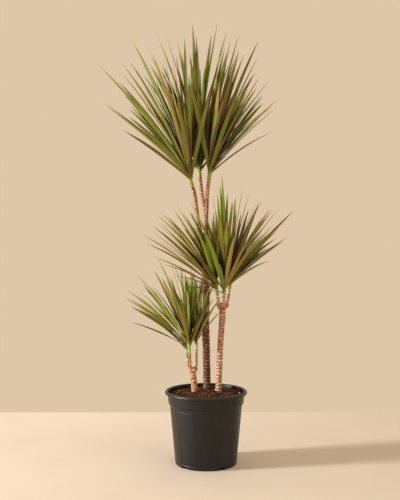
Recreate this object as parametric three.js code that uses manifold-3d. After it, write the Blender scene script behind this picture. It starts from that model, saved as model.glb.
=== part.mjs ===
// Potted dracaena marginata: three canes of unequal height, each with three leafy heads, in a nursery pot.
// Millimetres, +Z up. The origin is the middle of the pot's underside, and the plant's front faces -Y.
import * as THREE from 'three';
import { mergeVertices } from 'three/addons/utils/BufferGeometryUtils.js';
import Module from 'manifold-3d';

const wasm = await Module();
wasm.setup();

// ---------------------------------------------------------------- driving dimensions

const GAP = 0.3; // clearance between pieces that touch

const POT = {
  height: 188,
  rimRadius: 105, // outside of the rolled rim
  rimRound: 3,
  lipHeight: 8.5,
  lipTop: 4.5, // width of the rim's rounded top
  footRadius: 76.5,
  footInside: 69,
  footRound: 2.5,
  padRadius: 22, // flat pad in the middle of the underside
  padSlope: 3,
  rise: 4, // how far the floor is raised inside the foot ring
  floor: 2.5,
  wall: 2,
  corner: 4, // slope between floor and wall, inside
  wallFoot: [79.5, 11], // radius and height where the plain wall starts
  wallTop: [92.5, 153],
  band: [96, 156], // the stepped upper band starts here
  bandTop: [98.5, 179],
  segments: 32,
};
const NOTCH = {
  count: 5,
  back: 72, // radius of its back wall
  width: 19,
  height: 5.5,
  first: -132, // degrees, -90 is the front
};
const DRAIN = { count: 5, radius: 5, at: 48, sides: 8 };

const SOIL = { edge: 177, middle: 182, reach: 95, crumb: 2.2, rings: [0, 18, 38, 57, 75, 89] };

const CANE_SIDES = 9;
const STEM_SIDES = 6;
const RING_PITCH = 14; // leaf-scar rings on the canes, drawn larger than life
const RING_RELIEF = [-0.2, 0.5]; // how far a cane's radius dips and swells between its rings
const SCAR_PITCH = 7; // chequered leaf scars on the young stems
const SCAR_RELIEF = 0.45;
const KNOB_SIDES = [10, 6]; // round it, and from top to bottom

// The green shoot that holds a head's leaves: its radii as shares of its stem's.
const SHOOT = { foot: 1.21, crown: 0.83, sides: 7 };

const BLADE = {
  thick: 1.0, // through the midrib
  channel: 0.1, // how far the edges stand above the midrib, as a share of the width
  sunk: 0.75, // how far past the shoot's middle its root lies, as a share of the shoot's radius
  neck: [30, 95], // from the root to the neck: on a spreading blade, and on an upright one
  uprightWithin: 35, // degrees
  stations: [0, 0, 0.44, 0.75, 1], // shares of the length; the neck's is worked out
  widths: [0, 0.72, 1, 0.64, 0],
  turned: [0, 0.2, 1, 1, 1], // how much of its twist a blade has made at each station
};
// How far a blade bows, as shares of its length: more the further it leans, up to a lean in degrees.
const BOW = { upright: 0.008, added: [0.018, 0.036], fullAt: 60 };

// How blades are placed. Pairs that are a range are drawn from evenly; the others are first and last try.
const GROWTH = {
  tries: 150, // places tried for one blade, from the wanted one outwards
  clear: 0.6, // between a blade and anything that it doesn't grow from
  far: 30, // things whose middles lie this far apart can't touch
  rootFree: [12, 24, 60, Infinity], // blades of one head may touch this close to their roots, at best
  sharedWithin: 26, // degrees: blades that lean less come from every head in turn
  strays: 0.22, // share of the other blades that come from the second head on their side
  ownWay: 0.1, // radians that a filling blade keeps from a listed one
  goldenAngle: 137.508, // degrees from one filling blade to the next
  crowding: 0.72, // filling blades are denser towards the crown's rim below 1
  twist: 55, // degrees either way
  rootCurve: 0.8, // below 1, roots sink faster as blades begin to lean
  rootPlay: [0.1, 0.55], // how far a root may lie from its wanted place: first and last try
  aimPlay: [0.06, 0.36], // how far a filling blade may aim from its wanted way: first and last try
  wander: 15, // a last try ends up to so far from its listed tip, across and up
  ends: [0.85, 0.97], // how far out in the envelope a listed tip lies, as a share
  lengths: [0.85, 1], // of a filling blade, as a share of the envelope's reach that way
  young: { within: 35, length: 0.82, grown: 0.96 }, // blades that lean less than this are shorter
  inner: { within: 12, width: 0.85 }, // blades that lean less than this are narrower
  widths: [0.88, 1.05], // shares of the crown's leaf width
};

// Where the plant is looked at from: the leaf tips listed below were sighted from this point.
const VIEWER = new THREE.Vector3(-15, -2190, 616);

// Canes and stems as [x, y, z] along their middles, from the foot in the soil to the top.
const CANES = [
  {
    name: 'tall',
    line: [
      [4, 47, 92], [3, 46, 181], [1, 45, 285], [-1, 45, 376], [1, 44, 416], [-4, 43, 520], [-6, 42, 580],
    ],
    radii: [9.6, 9.6, 8.6],
    knob: { at: [-6, 42, 581], size: [11, 10.5, 10] },
    stemRadius: 4.8,
    stems: {
      left: [[-9, 40, 576], [-13, 38, 590], [-23, 28, 644], [-29, 20, 688], [-38, 15, 718]],
      middle: [[-5, 45, 576], [1, 50, 590], [0, 55, 639], [-10, 62, 689], [-16, 68, 739]],
      right: [[-4, 40, 576], [-1, 34, 590], [2, 28, 652], [3, 25, 688], [8, 22, 731]],
    },
    headTops: { left: [-49, 8, 768], middle: [-20, 73, 792], right: [18, 18, 782] },
    bark: 0x7a5646,
  },
  {
    name: 'medium',
    line: [[32, 15, 96], [32, 15, 183], [34, 15, 232], [37, 15, 302], [42, 15, 372], [43, 15, 402]],
    radii: [9, 7.4, 8.4],
    knob: { at: [43, 15, 403], size: [15, 12.5, 8.5] },
    stemRadius: 3.9,
    stems: {
      left: [[34, 12, 401], [32, 10, 412], [30, 7, 426], [28, 4, 440]],
      middle: [[44, 10, 401], [45, 7, 412], [46, 3, 430]],
      right: [[52, 18, 401], [55, 20, 412], [58, 22, 428], [61, 24, 449]],
    },
    headTops: { left: [19, -3, 490], middle: [49, -2, 478], right: [69, 27, 497] },
    bark: 0xb58a70,
  },
  {
    name: 'short',
    line: [[-30, 12, 104], [-30, 12, 183], [-30, 12, 199], [-33, 12, 222], [-34, 12, 239]],
    radii: [8.5, 8.3, 8.3],
    knob: { at: [-34.5, 12, 238], size: [11.5, 10.5, 8] },
    stemRadius: 3.3,
    stems: {
      left: [[-39, 15, 238], [-45, 19, 246], [-47, 21, 263], [-49, 22, 281]],
      middle: [[-38, 8, 238], [-40, 4, 248], [-41, 2, 265], [-42, 0, 283]],
      right: [[-30, 16, 238], [-25, 18, 249], [-25, 20, 268], [-25, 22, 288]],
    },
    headTops: { left: [-56, 23, 326], middle: [-44, -6, 330], right: [-23, 25, 334] },
    bark: 0xa87650,
  },
];

// Each head's blades end in a rounded envelope that reaches so far from the head's foot to the left, right,
// front and back, and up. Roots are the lowest and highest on a shoot, as shares of its length. The tips
// that show at a crown's outline are listed by where they are seen in the crown's plane:
// [across, up, share of the blade's width that shows], and for a few a depth, minus nearer.
const CROWNS = [
  {
    cane: 'tall',
    planeDepth: 30,
    reach: { left: 265, right: 195, deep: 235, up: 355 },
    leafWidth: 12.8,
    roots: [0.06, 0.88],
    leaves: 80,
    spread: 45,
    tilt: [0, 0],
    tips: {
      left: [
        [-275, 1020, 0.7], [-265, 925, 0.9], [-255, 910, 0.8], [-215, 855, 0.2], [-220, 1005, 0.6],
        [-215, 1025, 0.8], [-185, 1015, 0.7], [-190, 1085, 0.9], [-200, 890, 0.3], [-140, 1055, 0.8],
        [-85, 1050, 0.7], [-55, 1095, 0.6], [-45, 995, 0.9, -165], [15, 960, 0.8, -185],
        [-75, 940, 0.9, -190],
      ],
      middle: [
        [-150, 1060, 0.5], [-135, 1090, 0.6], [-120, 1090, 0.7], [-105, 1105, 0.8], [-75, 1085, 0.6],
        [-35, 1130, 0.8], [-25, 1100, 0.4], [-15, 1085, 0.8], [15, 1105, 0.6], [30, 1130, 0.8],
        [50, 1110, 0.5], [60, 1065, 0.4], [-5, 1020, 0.8, -90],
      ],
      right: [
        [40, 1085, 0.5], [65, 1095, 0.3], [85, 1100, 0.7], [85, 1060, 0.8], [135, 1090, 0.8],
        [135, 1045, 0.5], [140, 995, 0.9], [165, 985, 0.2], [185, 915, 0.8], [170, 850, 0.2],
        [140, 880, 0.7], [40, 1015, 0.9, -150], [-40, 975, 0.8, -160], [85, 960, 0.8, -190],
      ],
    },
  },
  {
    cane: 'medium',
    planeDepth: 10,
    reach: { left: 205, right: 170, deep: 190, up: 262 },
    leafWidth: 10.6,
    roots: [0.06, 0.88],
    leaves: 71,
    spread: 51,
    tilt: [0, 0],
    tips: {
      left: [
        [-160, 585, 0.7], [-155, 565, 0.8], [-140, 610, 0.9], [-130, 635, 0.8], [-125, 615, 0.7],
        [-90, 655, 0.7], [-80, 670, 0.8], [-80, 615, 0.5], [-50, 670, 0.4], [-135, 530, 0.2],
        [-110, 510, 0.2], [-85, 490, 0.2], [-45, 645, 0.8, -110], [-25, 605, 0.8, -150],
      ],
      middle: [
        [-40, 675, 0.3], [-15, 675, 0.4], [15, 690, 0.5], [20, 700, 0.5], [25, 720, 0.8], [35, 715, 0.4],
        [40, 740, 0.8], [55, 695, 0.6], [60, 685, 0.7], [135, 680, 0.3], [180, 655, 0.4],
        [-65, 450, 0.5, -130], [0, 590, 0.9, -165], [10, 560, 0.9, -175], [60, 620, 0.8, -150],
        [-35, 620, 0.9, -130], [25, 655, 0.8, -125],
      ],
      right: [
        [75, 685, 0.6], [95, 710, 0.8], [110, 690, 0.4], [135, 690, 0.8], [165, 655, 0.3],
        [170, 650, 0.8], [220, 645, 0.9], [210, 580, 0.4], [150, 560, 0.7], [165, 520, 0.3],
        [85, 590, 0.9, -160], [105, 660, 0.7, -110], [20, 655, 0.7, -120],
      ],
    },
  },
  {
    cane: 'short',
    planeDepth: 14,
    reach: { left: 178, right: 80, deep: 165, up: 245 },
    leafWidth: 9.8,
    roots: [0.34, 0.94],
    leaves: 39,
    spread: 41,
    tilt: [-0.2, -0.05],
    tips: {
      left: [
        [-205, 445, 0.7], [-210, 425, 0.8], [-195, 400, 0.3], [-165, 435, 0.3], [-95, 480, 0.4],
      ],
      middle: [
        [-190, 490, 0.7], [-175, 470, 0.6], [-150, 500, 0.5], [-135, 495, 0.3], [-130, 530, 0.9],
        [-115, 475, 0.3], [-95, 530, 0.8], [-65, 510, 0.7], [-50, 475, 0.5], [-75, 420, 0.9, -140],
      ],
      right: [
        [-85, 515, 0.4], [-40, 495, 0.8], [-35, 490, 0.4], [-15, 465, 0.5], [10, 455, 0.8],
        [30, 415, 0.9, -130], [-20, 430, 0.8, -135],
      ],
    },
  },
];

const FINISH = {
  pot: { color: 0x212326, roughness: 0.5 },
  soil: { color: 0x3b2518, roughness: 0.95 },
  bark: { roughness: 0.85 },
  leaf: { color: 0x6d7d3a, roughness: 0.5 },
};

// ---------------------------------------------------------------- helpers

const { degToRad, radToDeg, lerp } = THREE.MathUtils;
const UP = new THREE.Vector3(0, 0, 1);
const toVector = ([x, y, z]) => new THREE.Vector3(x, y, z);
const leanOf = (direction) => radToDeg(direction.angleTo(UP));

function seededRandom(seed) {
  let state = seed;
  return () => {
    state = (state * 1664525 + 1013904223) % 4294967296;
    return state / 4294967296;
  };
}

// A closed geometry as a solid: shared corners are merged, and triangles that shrink to a line are dropped.
function toSolid(geometry) {
  const bare = new THREE.BufferGeometry();
  bare.setAttribute('position', geometry.getAttribute('position'));
  bare.setIndex(geometry.getIndex());
  const merged = mergeVertices(bare, 1e-4);
  const index = merged.getIndex().array;
  const kept = [];
  for (let i = 0; i < index.length; i += 3) {
    const [a, b, c] = index.slice(i, i + 3);
    if (a !== b && b !== c && c !== a) kept.push(a, b, c);
  }
  const vertProperties = new Float32Array(merged.getAttribute('position').array);
  return new wasm.Manifold(new wasm.Mesh({ numProp: 3, vertProperties, triVerts: new Uint32Array(kept) }));
}

// The largest body of a solid: pockets that joining has sealed are filled, and loose scraps are dropped.
function mainBody(solid) {
  return solid.decompose().reduce((best, body) => (body.volume() > best.volume() ? body : best));
}

function toMesh(name, solid, finish) {
  const { vertProperties, triVerts } = solid.getMesh();
  const geometry = new THREE.BufferGeometry();
  geometry.setAttribute('position', new THREE.BufferAttribute(vertProperties, 3));
  geometry.setIndex(new THREE.BufferAttribute(triVerts, 1));
  geometry.computeVertexNormals();
  const mesh = new THREE.Mesh(geometry, new THREE.MeshStandardMaterial({ metalness: 0, ...finish }));
  mesh.name = name;
  return mesh;
}

// A profile of [radius, height] pairs, turned about the Z axis.
function turned(profile, segments) {
  const points = profile.map(([radius, height]) => new THREE.Vector2(radius, height));
  return new THREE.LatheGeometry(points, segments).rotateX(Math.PI / 2);
}

// A round, nearly upright rod: one ring of corners at each station, radiusAt(row, side, z) from its middle.
function rod(points, sides, radiusAt) {
  const corners = [];
  const index = [];
  points.forEach(({ at, along }, row) => {
    const across = new THREE.Vector3(1, 0, 0).addScaledVector(along, -along.x).normalize();
    const back = new THREE.Vector3().crossVectors(along, across);
    for (let side = 0; side < sides; side += 1) {
      const angle = (side / sides) * 2 * Math.PI;
      const radius = radiusAt(row, side, at.z);
      const corner = at.clone().addScaledVector(across, Math.cos(angle) * radius);
      corners.push(...corner.addScaledVector(back, Math.sin(angle) * radius).toArray());
    }
  });
  for (let row = 0; row + 1 < points.length; row += 1) {
    for (let side = 0; side < sides; side += 1) {
      const a = row * sides + side;
      const b = row * sides + ((side + 1) % sides);
      index.push(a, b, b + sides, a, b + sides, a + sides);
    }
  }
  const last = (points.length - 1) * sides;
  for (let side = 1; side + 1 < sides; side += 1) {
    index.push(0, side + 1, side);
    index.push(last, last + side, last + side + 1);
  }
  const geometry = new THREE.BufferGeometry();
  geometry.setAttribute('position', new THREE.Float32BufferAttribute(corners, 3));
  geometry.setIndex(index);
  return geometry;
}

// Stations along a smooth line through the points: even steps, or one plain step through the buried part.
function stationsAlong(line, pitch, plainBelow = -Infinity) {
  const curve = new THREE.CatmullRomCurve3(line.map(toVector), false, 'centripetal');
  const steps = Math.round(curve.getLength() / pitch);
  const stations = [];
  for (let step = 0; step <= steps; step += 1) {
    const at = curve.getPointAt(step / steps);
    const along = curve.getTangentAt(step / steps);
    if (step === 0 || at.z > plainBelow) stations.push({ at, along });
  }
  return stations;
}

// ---------------------------------------------------------------- pot

// The inside of the pot from under its rim to the middle of its floor, or what keeps so far clear of it.
function insideOfPot(clear) {
  const { wall, wallFoot, wallTop, band, bandTop, corner, rise, floor } = POT;
  const [toWall, toFloor] = [wall + clear, rise + floor + clear];
  return [
    [bandTop[0] - toWall, bandTop[1]],
    [band[0] - toWall, band[1] + 1],
    [wallTop[0] - toWall, wallTop[1] - 1],
    [wallFoot[0] - toWall, wallFoot[1] + 1],
    [wallFoot[0] - toWall - corner, toFloor],
    [0, toFloor],
  ];
}

function makePot() {
  const { height, rimRadius, rimRound, lipHeight, footRadius, footInside, padRadius } = POT;
  const lipFoot = height - lipHeight;
  const outside = [
    [0, 0],
    [padRadius, 0],
    [padRadius + POT.padSlope, POT.rise],
    [footInside - 1, POT.rise],
    [footInside, 0],
    [footRadius, 0],
    [footRadius + 2, POT.footRound],
    POT.wallFoot,
    POT.wallTop,
    POT.band,
    POT.bandTop,
    [rimRadius - rimRound / 2, lipFoot],
    [rimRadius, lipFoot + rimRound / 2],
    [rimRadius, height - rimRound],
    [rimRadius - rimRound * 0.6, height - rimRound * 0.2],
    [rimRadius - POT.lipTop, height],
    [POT.bandTop[0] - POT.wall, height - rimRound],
  ];
  let pot = toSolid(turned([...outside, ...insideOfPot(0)], POT.segments));
  for (let i = 0; i < NOTCH.count; i += 1) {
    const box = new THREE.BoxGeometry((footRadius - NOTCH.back) * 2, NOTCH.width, NOTCH.height * 2);
    box.translate(footRadius, 0, 0).rotateZ(degToRad(NOTCH.first + (i * 360) / NOTCH.count));
    pot = pot.subtract(toSolid(box));
  }
  for (let i = 0; i < DRAIN.count; i += 1) {
    const hole = new THREE.CylinderGeometry(DRAIN.radius, DRAIN.radius, 3 * POT.rise, DRAIN.sides);
    hole.rotateX(Math.PI / 2).translate(DRAIN.at, 0, POT.rise);
    pot = pot.subtract(toSolid(hole.rotateZ((i / DRAIN.count) * 2 * Math.PI)));
  }
  return toMesh('pot', mainBody(pot), FINISH.pot);
}

// ---------------------------------------------------------------- canes and their stems

const OUT_OF_SOIL = SOIL.middle + 5; // a cane is plain below this height

function caneRadius(cane, z) {
  const [foot, waist, top] = cane.radii;
  const base = cane.line[0][2];
  const share = (z - base) / (cane.line.at(-1)[2] - base);
  return share < 0.5 ? lerp(foot, waist, share * 2) : lerp(waist, top, share * 2 - 1);
}

function makeCane(cane) {
  const stations = stationsAlong(cane.line, RING_PITCH / 2, OUT_OF_SOIL);
  const trunk = rod(stations, CANE_SIDES, (row, side, z) => {
    const plain = z < OUT_OF_SOIL + RING_PITCH / 2;
    return caneRadius(cane, z) + (plain ? 0 : RING_RELIEF[row % 2]);
  });
  const knob = new THREE.SphereGeometry(1, ...KNOB_SIDES).rotateX(Math.PI / 2);
  knob.scale(...cane.knob.size).translate(...cane.knob.at);
  let wood = toSolid(trunk).add(toSolid(knob));
  for (const line of Object.values(cane.stems)) {
    const stem = rod(stationsAlong(line, SCAR_PITCH), STEM_SIDES, (row, side) => (
      cane.stemRadius + SCAR_RELIEF * ((row + side) % 2 ? 1 : -1)
    ));
    wood = wood.add(toSolid(stem));
  }
  return toMesh(`${cane.name}_cane`, mainBody(wood), { ...FINISH.bark, color: cane.bark });
}

// The plain hole in the soil that a cane stands in.
function caneHole(cane) {
  const [foot, mouth] = stationsAlong(cane.line, RING_PITCH / 2, OUT_OF_SOIL + 5);
  foot.at.z -= GAP;
  return toSolid(rod([foot, mouth], CANE_SIDES, (row, side, z) => caneRadius(cane, z) + 2 * GAP));
}

// ---------------------------------------------------------------- soil

function makeSoil() {
  const random = seededRandom(7);
  const heapAt = (radius) => SOIL.middle + (SOIL.edge - SOIL.middle) * (radius / SOIL.reach) ** 2;
  const [wallTop, ...wall] = insideOfPot(2 * GAP);
  const top = SOIL.rings.map((radius) => [radius, heapAt(radius)]);
  const profile = [...top, [wallTop[0], SOIL.edge - 2], ...wall].reverse();
  const heap = turned(profile, POT.segments);
  const merged = mergeVertices(new THREE.BufferGeometry()
    .setAttribute('position', heap.getAttribute('position')).setIndex(heap.getIndex()), 1e-3);
  const corner = merged.getAttribute('position');
  for (let i = 0; i < corner.count; i += 1) {
    const crumb = (random() - 0.5) * 2 * SOIL.crumb;
    if (corner.getZ(i) > SOIL.edge - 1) corner.setZ(i, corner.getZ(i) + crumb);
  }
  let soil = toSolid(merged);
  for (const cane of CANES) soil = soil.subtract(caneHole(cane));
  return toMesh('soil', mainBody(soil), FINISH.soil);
}

// ---------------------------------------------------------------- leafy heads

// A head's shoot: the green axis that carries on from its brown stem and bends to the head's top.
function shootOf(cane, side) {
  const stem = stationsAlong(cane.stems[side], SCAR_PITCH).at(-1);
  const foot = stem.at.clone().addScaledVector(stem.along, GAP);
  const top = toVector(cane.headTops[side]);
  const bend = foot.clone().addScaledVector(stem.along, foot.distanceTo(top) / 2);
  return {
    name: `${cane.name}_head_${side}`,
    foot,
    curve: new THREE.QuadraticBezierCurve3(foot, bend, top),
    radiusAt: (share) => cane.stemRadius * lerp(SHOOT.foot, SHOOT.crown, share),
  };
}

function shootSolid({ curve, radiusAt }) {
  const shares = [0, 0.5, 1];
  const stations = shares.map((share) => ({ at: curve.getPoint(share), along: curve.getTangent(share) }));
  return toSolid(rod(stations, SHOOT.sides, (row) => radiusAt(shares[row])));
}

// A blade from root to tip: middles, width directions and normals at its stations. Its root is a point just
// inside the far wall of the shoot, so that the blade is sunk in across the shoot's whole thickness.
function makeBlade(root, tip, width, bow, twistTo) {
  const chord = tip.clone().sub(root.at);
  const outward = chord.clone().setZ(0).normalize();
  const start = root.at.clone().addScaledVector(outward, -BLADE.sunk * root.radius);
  chord.copy(tip).sub(start);
  const length = chord.length();
  chord.normalize();
  const level = new THREE.Vector3().crossVectors(chord, UP).normalize();
  const lift = new THREE.Vector3().crossVectors(level, chord);
  const bend = start.clone().add(tip).multiplyScalar(0.5).addScaledVector(lift, 2 * bow * length);
  const curve = new THREE.QuadraticBezierCurve3(start, bend, tip);
  const upright = 1 - Math.min(1, leanOf(chord) / BLADE.uprightWithin);
  const neck = lerp(...BLADE.neck, upright);
  return BLADE.stations.map((station, row) => {
    const share = row === 1 ? neck / length : station;
    const along = curve.getTangent(share);
    const flatSide = new THREE.Vector3().crossVectors(along, UP).normalize();
    const side = flatSide.applyAxisAngle(along, twistTo(chord, level, lift) * BLADE.turned[row]);
    return {
      at: curve.getPoint(share),
      along,
      side,
      normal: new THREE.Vector3().crossVectors(side, along),
      half: (width / 2) * BLADE.widths[row],
    };
  });
}

// Corners of one station: over the midrib, one edge, under the midrib, the other edge.
function stationCorners({ at, side, normal, half }) {
  const lift = half * 2 * BLADE.channel;
  const corner = (across, up) => at.clone().addScaledVector(side, across).addScaledVector(normal, up);
  return [corner(0, BLADE.thick / 2), corner(half, lift), corner(0, -BLADE.thick / 2), corner(-half, lift)];
}

// Both faces are split along the same diagonals, so that a twisted blade never crosses itself.
function bladeSolid(rows) {
  const corners = [];
  const index = [];
  const body = rows.slice(1, -1);
  body.forEach((row) => stationCorners(row).forEach((corner) => corners.push(...corner.toArray())));
  const root = body.length * 4;
  const tip = root + 1;
  corners.push(...rows[0].at.toArray(), ...rows.at(-1).at.toArray());
  for (let k = 0; k < 4; k += 1) {
    const next = (k + 1) % 4;
    for (let row = 0; row + 1 < body.length; row += 1) {
      const [a, b] = [row * 4 + k, row * 4 + next];
      const fromEdge = k % 2 === 1;
      index.push(...(fromEdge ? [a, b, b + 4, a, b + 4, a + 4] : [a, b, a + 4, b, b + 4, a + 4]));
    }
    index.push(root, next, k);
    index.push(root - 4 + k, root - 4 + next, tip);
  }
  const geometry = new THREE.BufferGeometry();
  geometry.setAttribute('position', new THREE.Float32BufferAttribute(corners, 3));
  geometry.setIndex(index);
  return toSolid(geometry);
}

// Closest points of two straight stretches, as shares of each.
function closestShares(a0, a1, b0, b1) {
  const alongA = a1.clone().sub(a0);
  const alongB = b1.clone().sub(b0);
  const between = a0.clone().sub(b0);
  const aa = alongA.lengthSq();
  const bb = alongB.lengthSq();
  const ab = alongA.dot(alongB);
  const ad = alongA.dot(between);
  const bd = alongB.dot(between);
  const clamp = (value) => Math.min(1, Math.max(0, value));
  const crossing = aa * bb - ab * ab;
  let shareA = crossing > 1e-9 ? clamp((ab * bd - ad * bb) / crossing) : 0;
  const shareB = clamp((ab * shareA + bd) / bb);
  shareA = clamp((ab * shareB - ad) / aa);
  return [shareA, shareB];
}

// How far a stretch reaches from its middle line in a direction.
const reachOf = (row, direction) => (row.radius ?? (
  Math.abs(row.side.dot(direction)) * row.half
  + Math.abs(row.normal.dot(direction)) * (BLADE.thick / 2 + row.half * 2 * BLADE.channel)
));

// True where two chains of stations stay so far clear. Each chain's first stretch may be shortened by free.
function staysClear(first, second, free, clear) {
  for (let i = 0; i + 1 < first.length; i += 1) {
    for (let j = 0; j + 1 < second.length; j += 1) {
      const trim = (rows, k) => (k > 0 || !free ? rows[k].at
        : rows[0].at.clone().lerp(rows[1].at, Math.min(1, free / rows[0].at.distanceTo(rows[1].at))));
      const a0 = trim(first, i);
      const a1 = first[i + 1].at;
      const b0 = trim(second, j);
      const b1 = second[j + 1].at;
      const [shareA, shareB] = closestShares(a0, a1, b0, b1);
      const apart = a0.clone().lerp(a1, shareA).sub(b0.clone().lerp(b1, shareB));
      const distance = apart.length();
      if (distance > GROWTH.far) continue;
      if (distance < 1e-6) return false;
      apart.divideScalar(distance);
      const reach = Math.max(reachOf(first[i], apart), reachOf(first[i + 1], apart))
        + Math.max(reachOf(second[j], apart), reachOf(second[j + 1], apart));
      if (distance < reach + clear) return false;
    }
  }
  return true;
}

// Round things that blades keep clear of: canes, stems and shoots, as chains with a radius.
const roundThings = [];
for (const cane of CANES) {
  const chain = (line, pitch, radius) => stationsAlong(line, pitch).map(({ at }) => ({ at, radius }));
  roundThings.push({ rows: chain(cane.line, 40, Math.max(...cane.radii) + 1) });
  for (const [side, line] of Object.entries(cane.stems)) {
    const shoot = shootOf(cane, side);
    roundThings.push({ rows: chain(line, 25, cane.stemRadius + 1), stemOf: shoot.name });
    const shares = [0, 0.5, 1];
    const green = shares.map((share) => ({ at: shoot.curve.getPoint(share), radius: shoot.radiusAt(0) }));
    roundThings.push({ rows: green, shoot: shoot.name });
  }
}

const blades = []; // every blade placed so far: { head, rows }

function isFree(head, rows, rootFree) {
  const fromOwnRoot = rows.slice(1);
  for (const thing of roundThings) {
    if (thing.shoot === head) continue;
    if (!staysClear(thing.stemOf === head ? fromOwnRoot : rows, thing.rows, 0, GROWTH.clear)) return false;
  }
  return blades.every((blade) => {
    if (blade.head !== head) return staysClear(rows, blade.rows, 0, GROWTH.clear);
    return rootFree === Infinity || staysClear(rows, blade.rows, rootFree, 0);
  });
}

// Tries one candidate after the other, first those that touch no other blade but at the very root.
function placeBlade(head, candidates) {
  for (const rootFree of GROWTH.rootFree) {
    const rows = candidates.find((candidate) => isFree(head, candidate, rootFree));
    if (rows) {
      blades.push({ head, rows });
      return true;
    }
  }
  return false;
}

// Where on its shoot a blade grows: spreading blades low, upright ones high. Later tries lie further off.
function rootOn(shoot, crown, lean, loose, random) {
  const [lowest, highest] = crown.roots;
  const wanted = lerp(highest, lowest, Math.min(1, lean / crown.spread) ** GROWTH.rootCurve);
  const play = (random() - 0.5) * lerp(...GROWTH.rootPlay, loose);
  const share = Math.min(highest, Math.max(lowest, wanted + play));
  return { at: shoot.curve.getPoint(share), radius: shoot.radiusAt(share) };
}

const bowOf = (lean, random) => (
  BOW.upright + Math.min(1, lean / BOW.fullAt) * lerp(...BOW.added, random())
);

// How far a tip stands from a head's foot, as a share of the crown's reach that way.
function shareOfReach({ reach }, way) {
  const across = Math.abs(way.x) / (way.x < 0 ? reach.left : reach.right);
  return Math.cbrt(across ** 3 + Math.abs(way.y / reach.deep) ** 3 + Math.abs(way.z / reach.up) ** 3);
}

// The twist that shows a given share of the blade's width to the viewer, the upper face kept upward.
function showingTwist(face, tip) {
  const toViewer = VIEWER.clone().sub(tip).normalize();
  return (chord, level, lift) => {
    const shown = toViewer.clone().addScaledVector(chord, -toViewer.dot(chord)).normalize();
    const shownAngle = Math.atan2(-shown.dot(level), shown.dot(lift));
    const turn = Math.acos(face);
    const wrap = (angle) => Math.atan2(Math.sin(angle), Math.cos(angle));
    const twists = [turn, -turn, Math.PI + turn, Math.PI - turn].map((angle) => wrap(shownAngle + angle));
    return twists.sort((a, b) => Math.abs(a) - Math.abs(b))[0];
  };
}

// Blades whose tip is sighted at a listed point: it lies on that sight line, where the line leaves the
// envelope on the near or the far side. The first keeps to the point, and the later ones wander from it.
function shownCandidates(crown, shoot, [across, up, face, depth], random, order) {
  const seen = new THREE.Vector3(across, crown.planeDepth, up);
  const sight = seen.clone().sub(VIEWER).normalize();
  const candidates = [];
  for (let attempt = 0; attempt < GROWTH.tries; attempt += 1) {
    const loose = attempt / GROWTH.tries;
    const wander = new THREE.Vector3(random() - 0.5, 0, random() - 0.5);
    wander.multiplyScalar(2 * GROWTH.wander * loose ** 2);
    const onLine = (distance) => seen.clone().add(wander).addScaledVector(sight, distance);
    let distance = depth;
    if (depth === undefined) {
      const nearSide = (order + attempt) % 2 === 0 ? -1 : 1;
      const fill = lerp(...GROWTH.ends, random());
      distance = 0;
      while (shareOfReach(crown, onLine(distance).sub(shoot.foot)) < fill) distance += 5 * nearSide;
    }
    const tip = onLine(distance * (1 - 0.5 * loose * random()));
    const lean = leanOf(tip.clone().sub(shoot.foot));
    const root = rootOn(shoot, crown, lean, loose, random);
    const width = crown.leafWidth * lerp(...GROWTH.widths, random());
    candidates.push(makeBlade(root, tip, width, bowOf(lean, random), showingTwist(face, tip)));
  }
  return candidates;
}

// Blades that fill the crown: a golden-angle spiral over its cap, each from the head that faces that way.
function fillCrown(crown, shoots, shownTips) {
  const random = seededRandom(crown.leaves);
  const { young, inner } = GROWTH;
  const middle = new THREE.Vector3();
  shoots.forEach((shoot) => middle.addScaledVector(shoot.foot, 1 / shoots.length));
  const shownWays = shownTips.map((tip) => tip.clone().sub(middle).normalize());
  for (let k = 0; k < crown.leaves; k += 1) {
    const lean = crown.spread * ((k + 0.5) / crown.leaves) ** GROWTH.crowding;
    const way = new THREE.Vector3(Math.sin(degToRad(lean)), 0, Math.cos(degToRad(lean)));
    way.applyAxisAngle(UP, degToRad(k * GROWTH.goldenAngle));
    way.add(new THREE.Vector3(crown.tilt[0], crown.tilt[1], 0)).normalize();
    if (shownWays.some((shown) => shown.angleTo(way) < GROWTH.ownWay)) continue;
    const outward = (shoot) => shoot.foot.clone().sub(middle).setZ(0).normalize().dot(way);
    const byFacing = [...shoots].sort((a, b) => outward(b) - outward(a));
    const facing = byFacing[random() < GROWTH.strays ? 1 : 0];
    const shoot = lean < GROWTH.sharedWithin ? shoots[k % shoots.length] : facing;
    const candidates = [];
    for (let attempt = 0; attempt < GROWTH.tries; attempt += 1) {
      const loose = attempt / GROWTH.tries;
      const stray = new THREE.Vector3(random() - 0.5, random() - 0.5, random() - 0.5);
      const aim = way.clone().addScaledVector(stray, lerp(...GROWTH.aimPlay, loose)).normalize();
      const root = rootOn(shoot, crown, lean, loose, random);
      const grown = lerp(young.length, young.grown, Math.min(1, lean / young.within));
      const length = (grown * lerp(...GROWTH.lengths, random())) / shareOfReach(crown, aim);
      const tip = shoot.foot.clone().addScaledVector(aim, length);
      const twist = degToRad((random() - 0.5) * 2 * GROWTH.twist);
      const narrowed = lean < inner.within ? inner.width : 1;
      const width = crown.leafWidth * narrowed * lerp(...GROWTH.widths, random());
      candidates.push(makeBlade(root, tip, width, bowOf(lean, random), () => twist));
    }
    placeBlade(shoot.name, candidates);
  }
}

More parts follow.
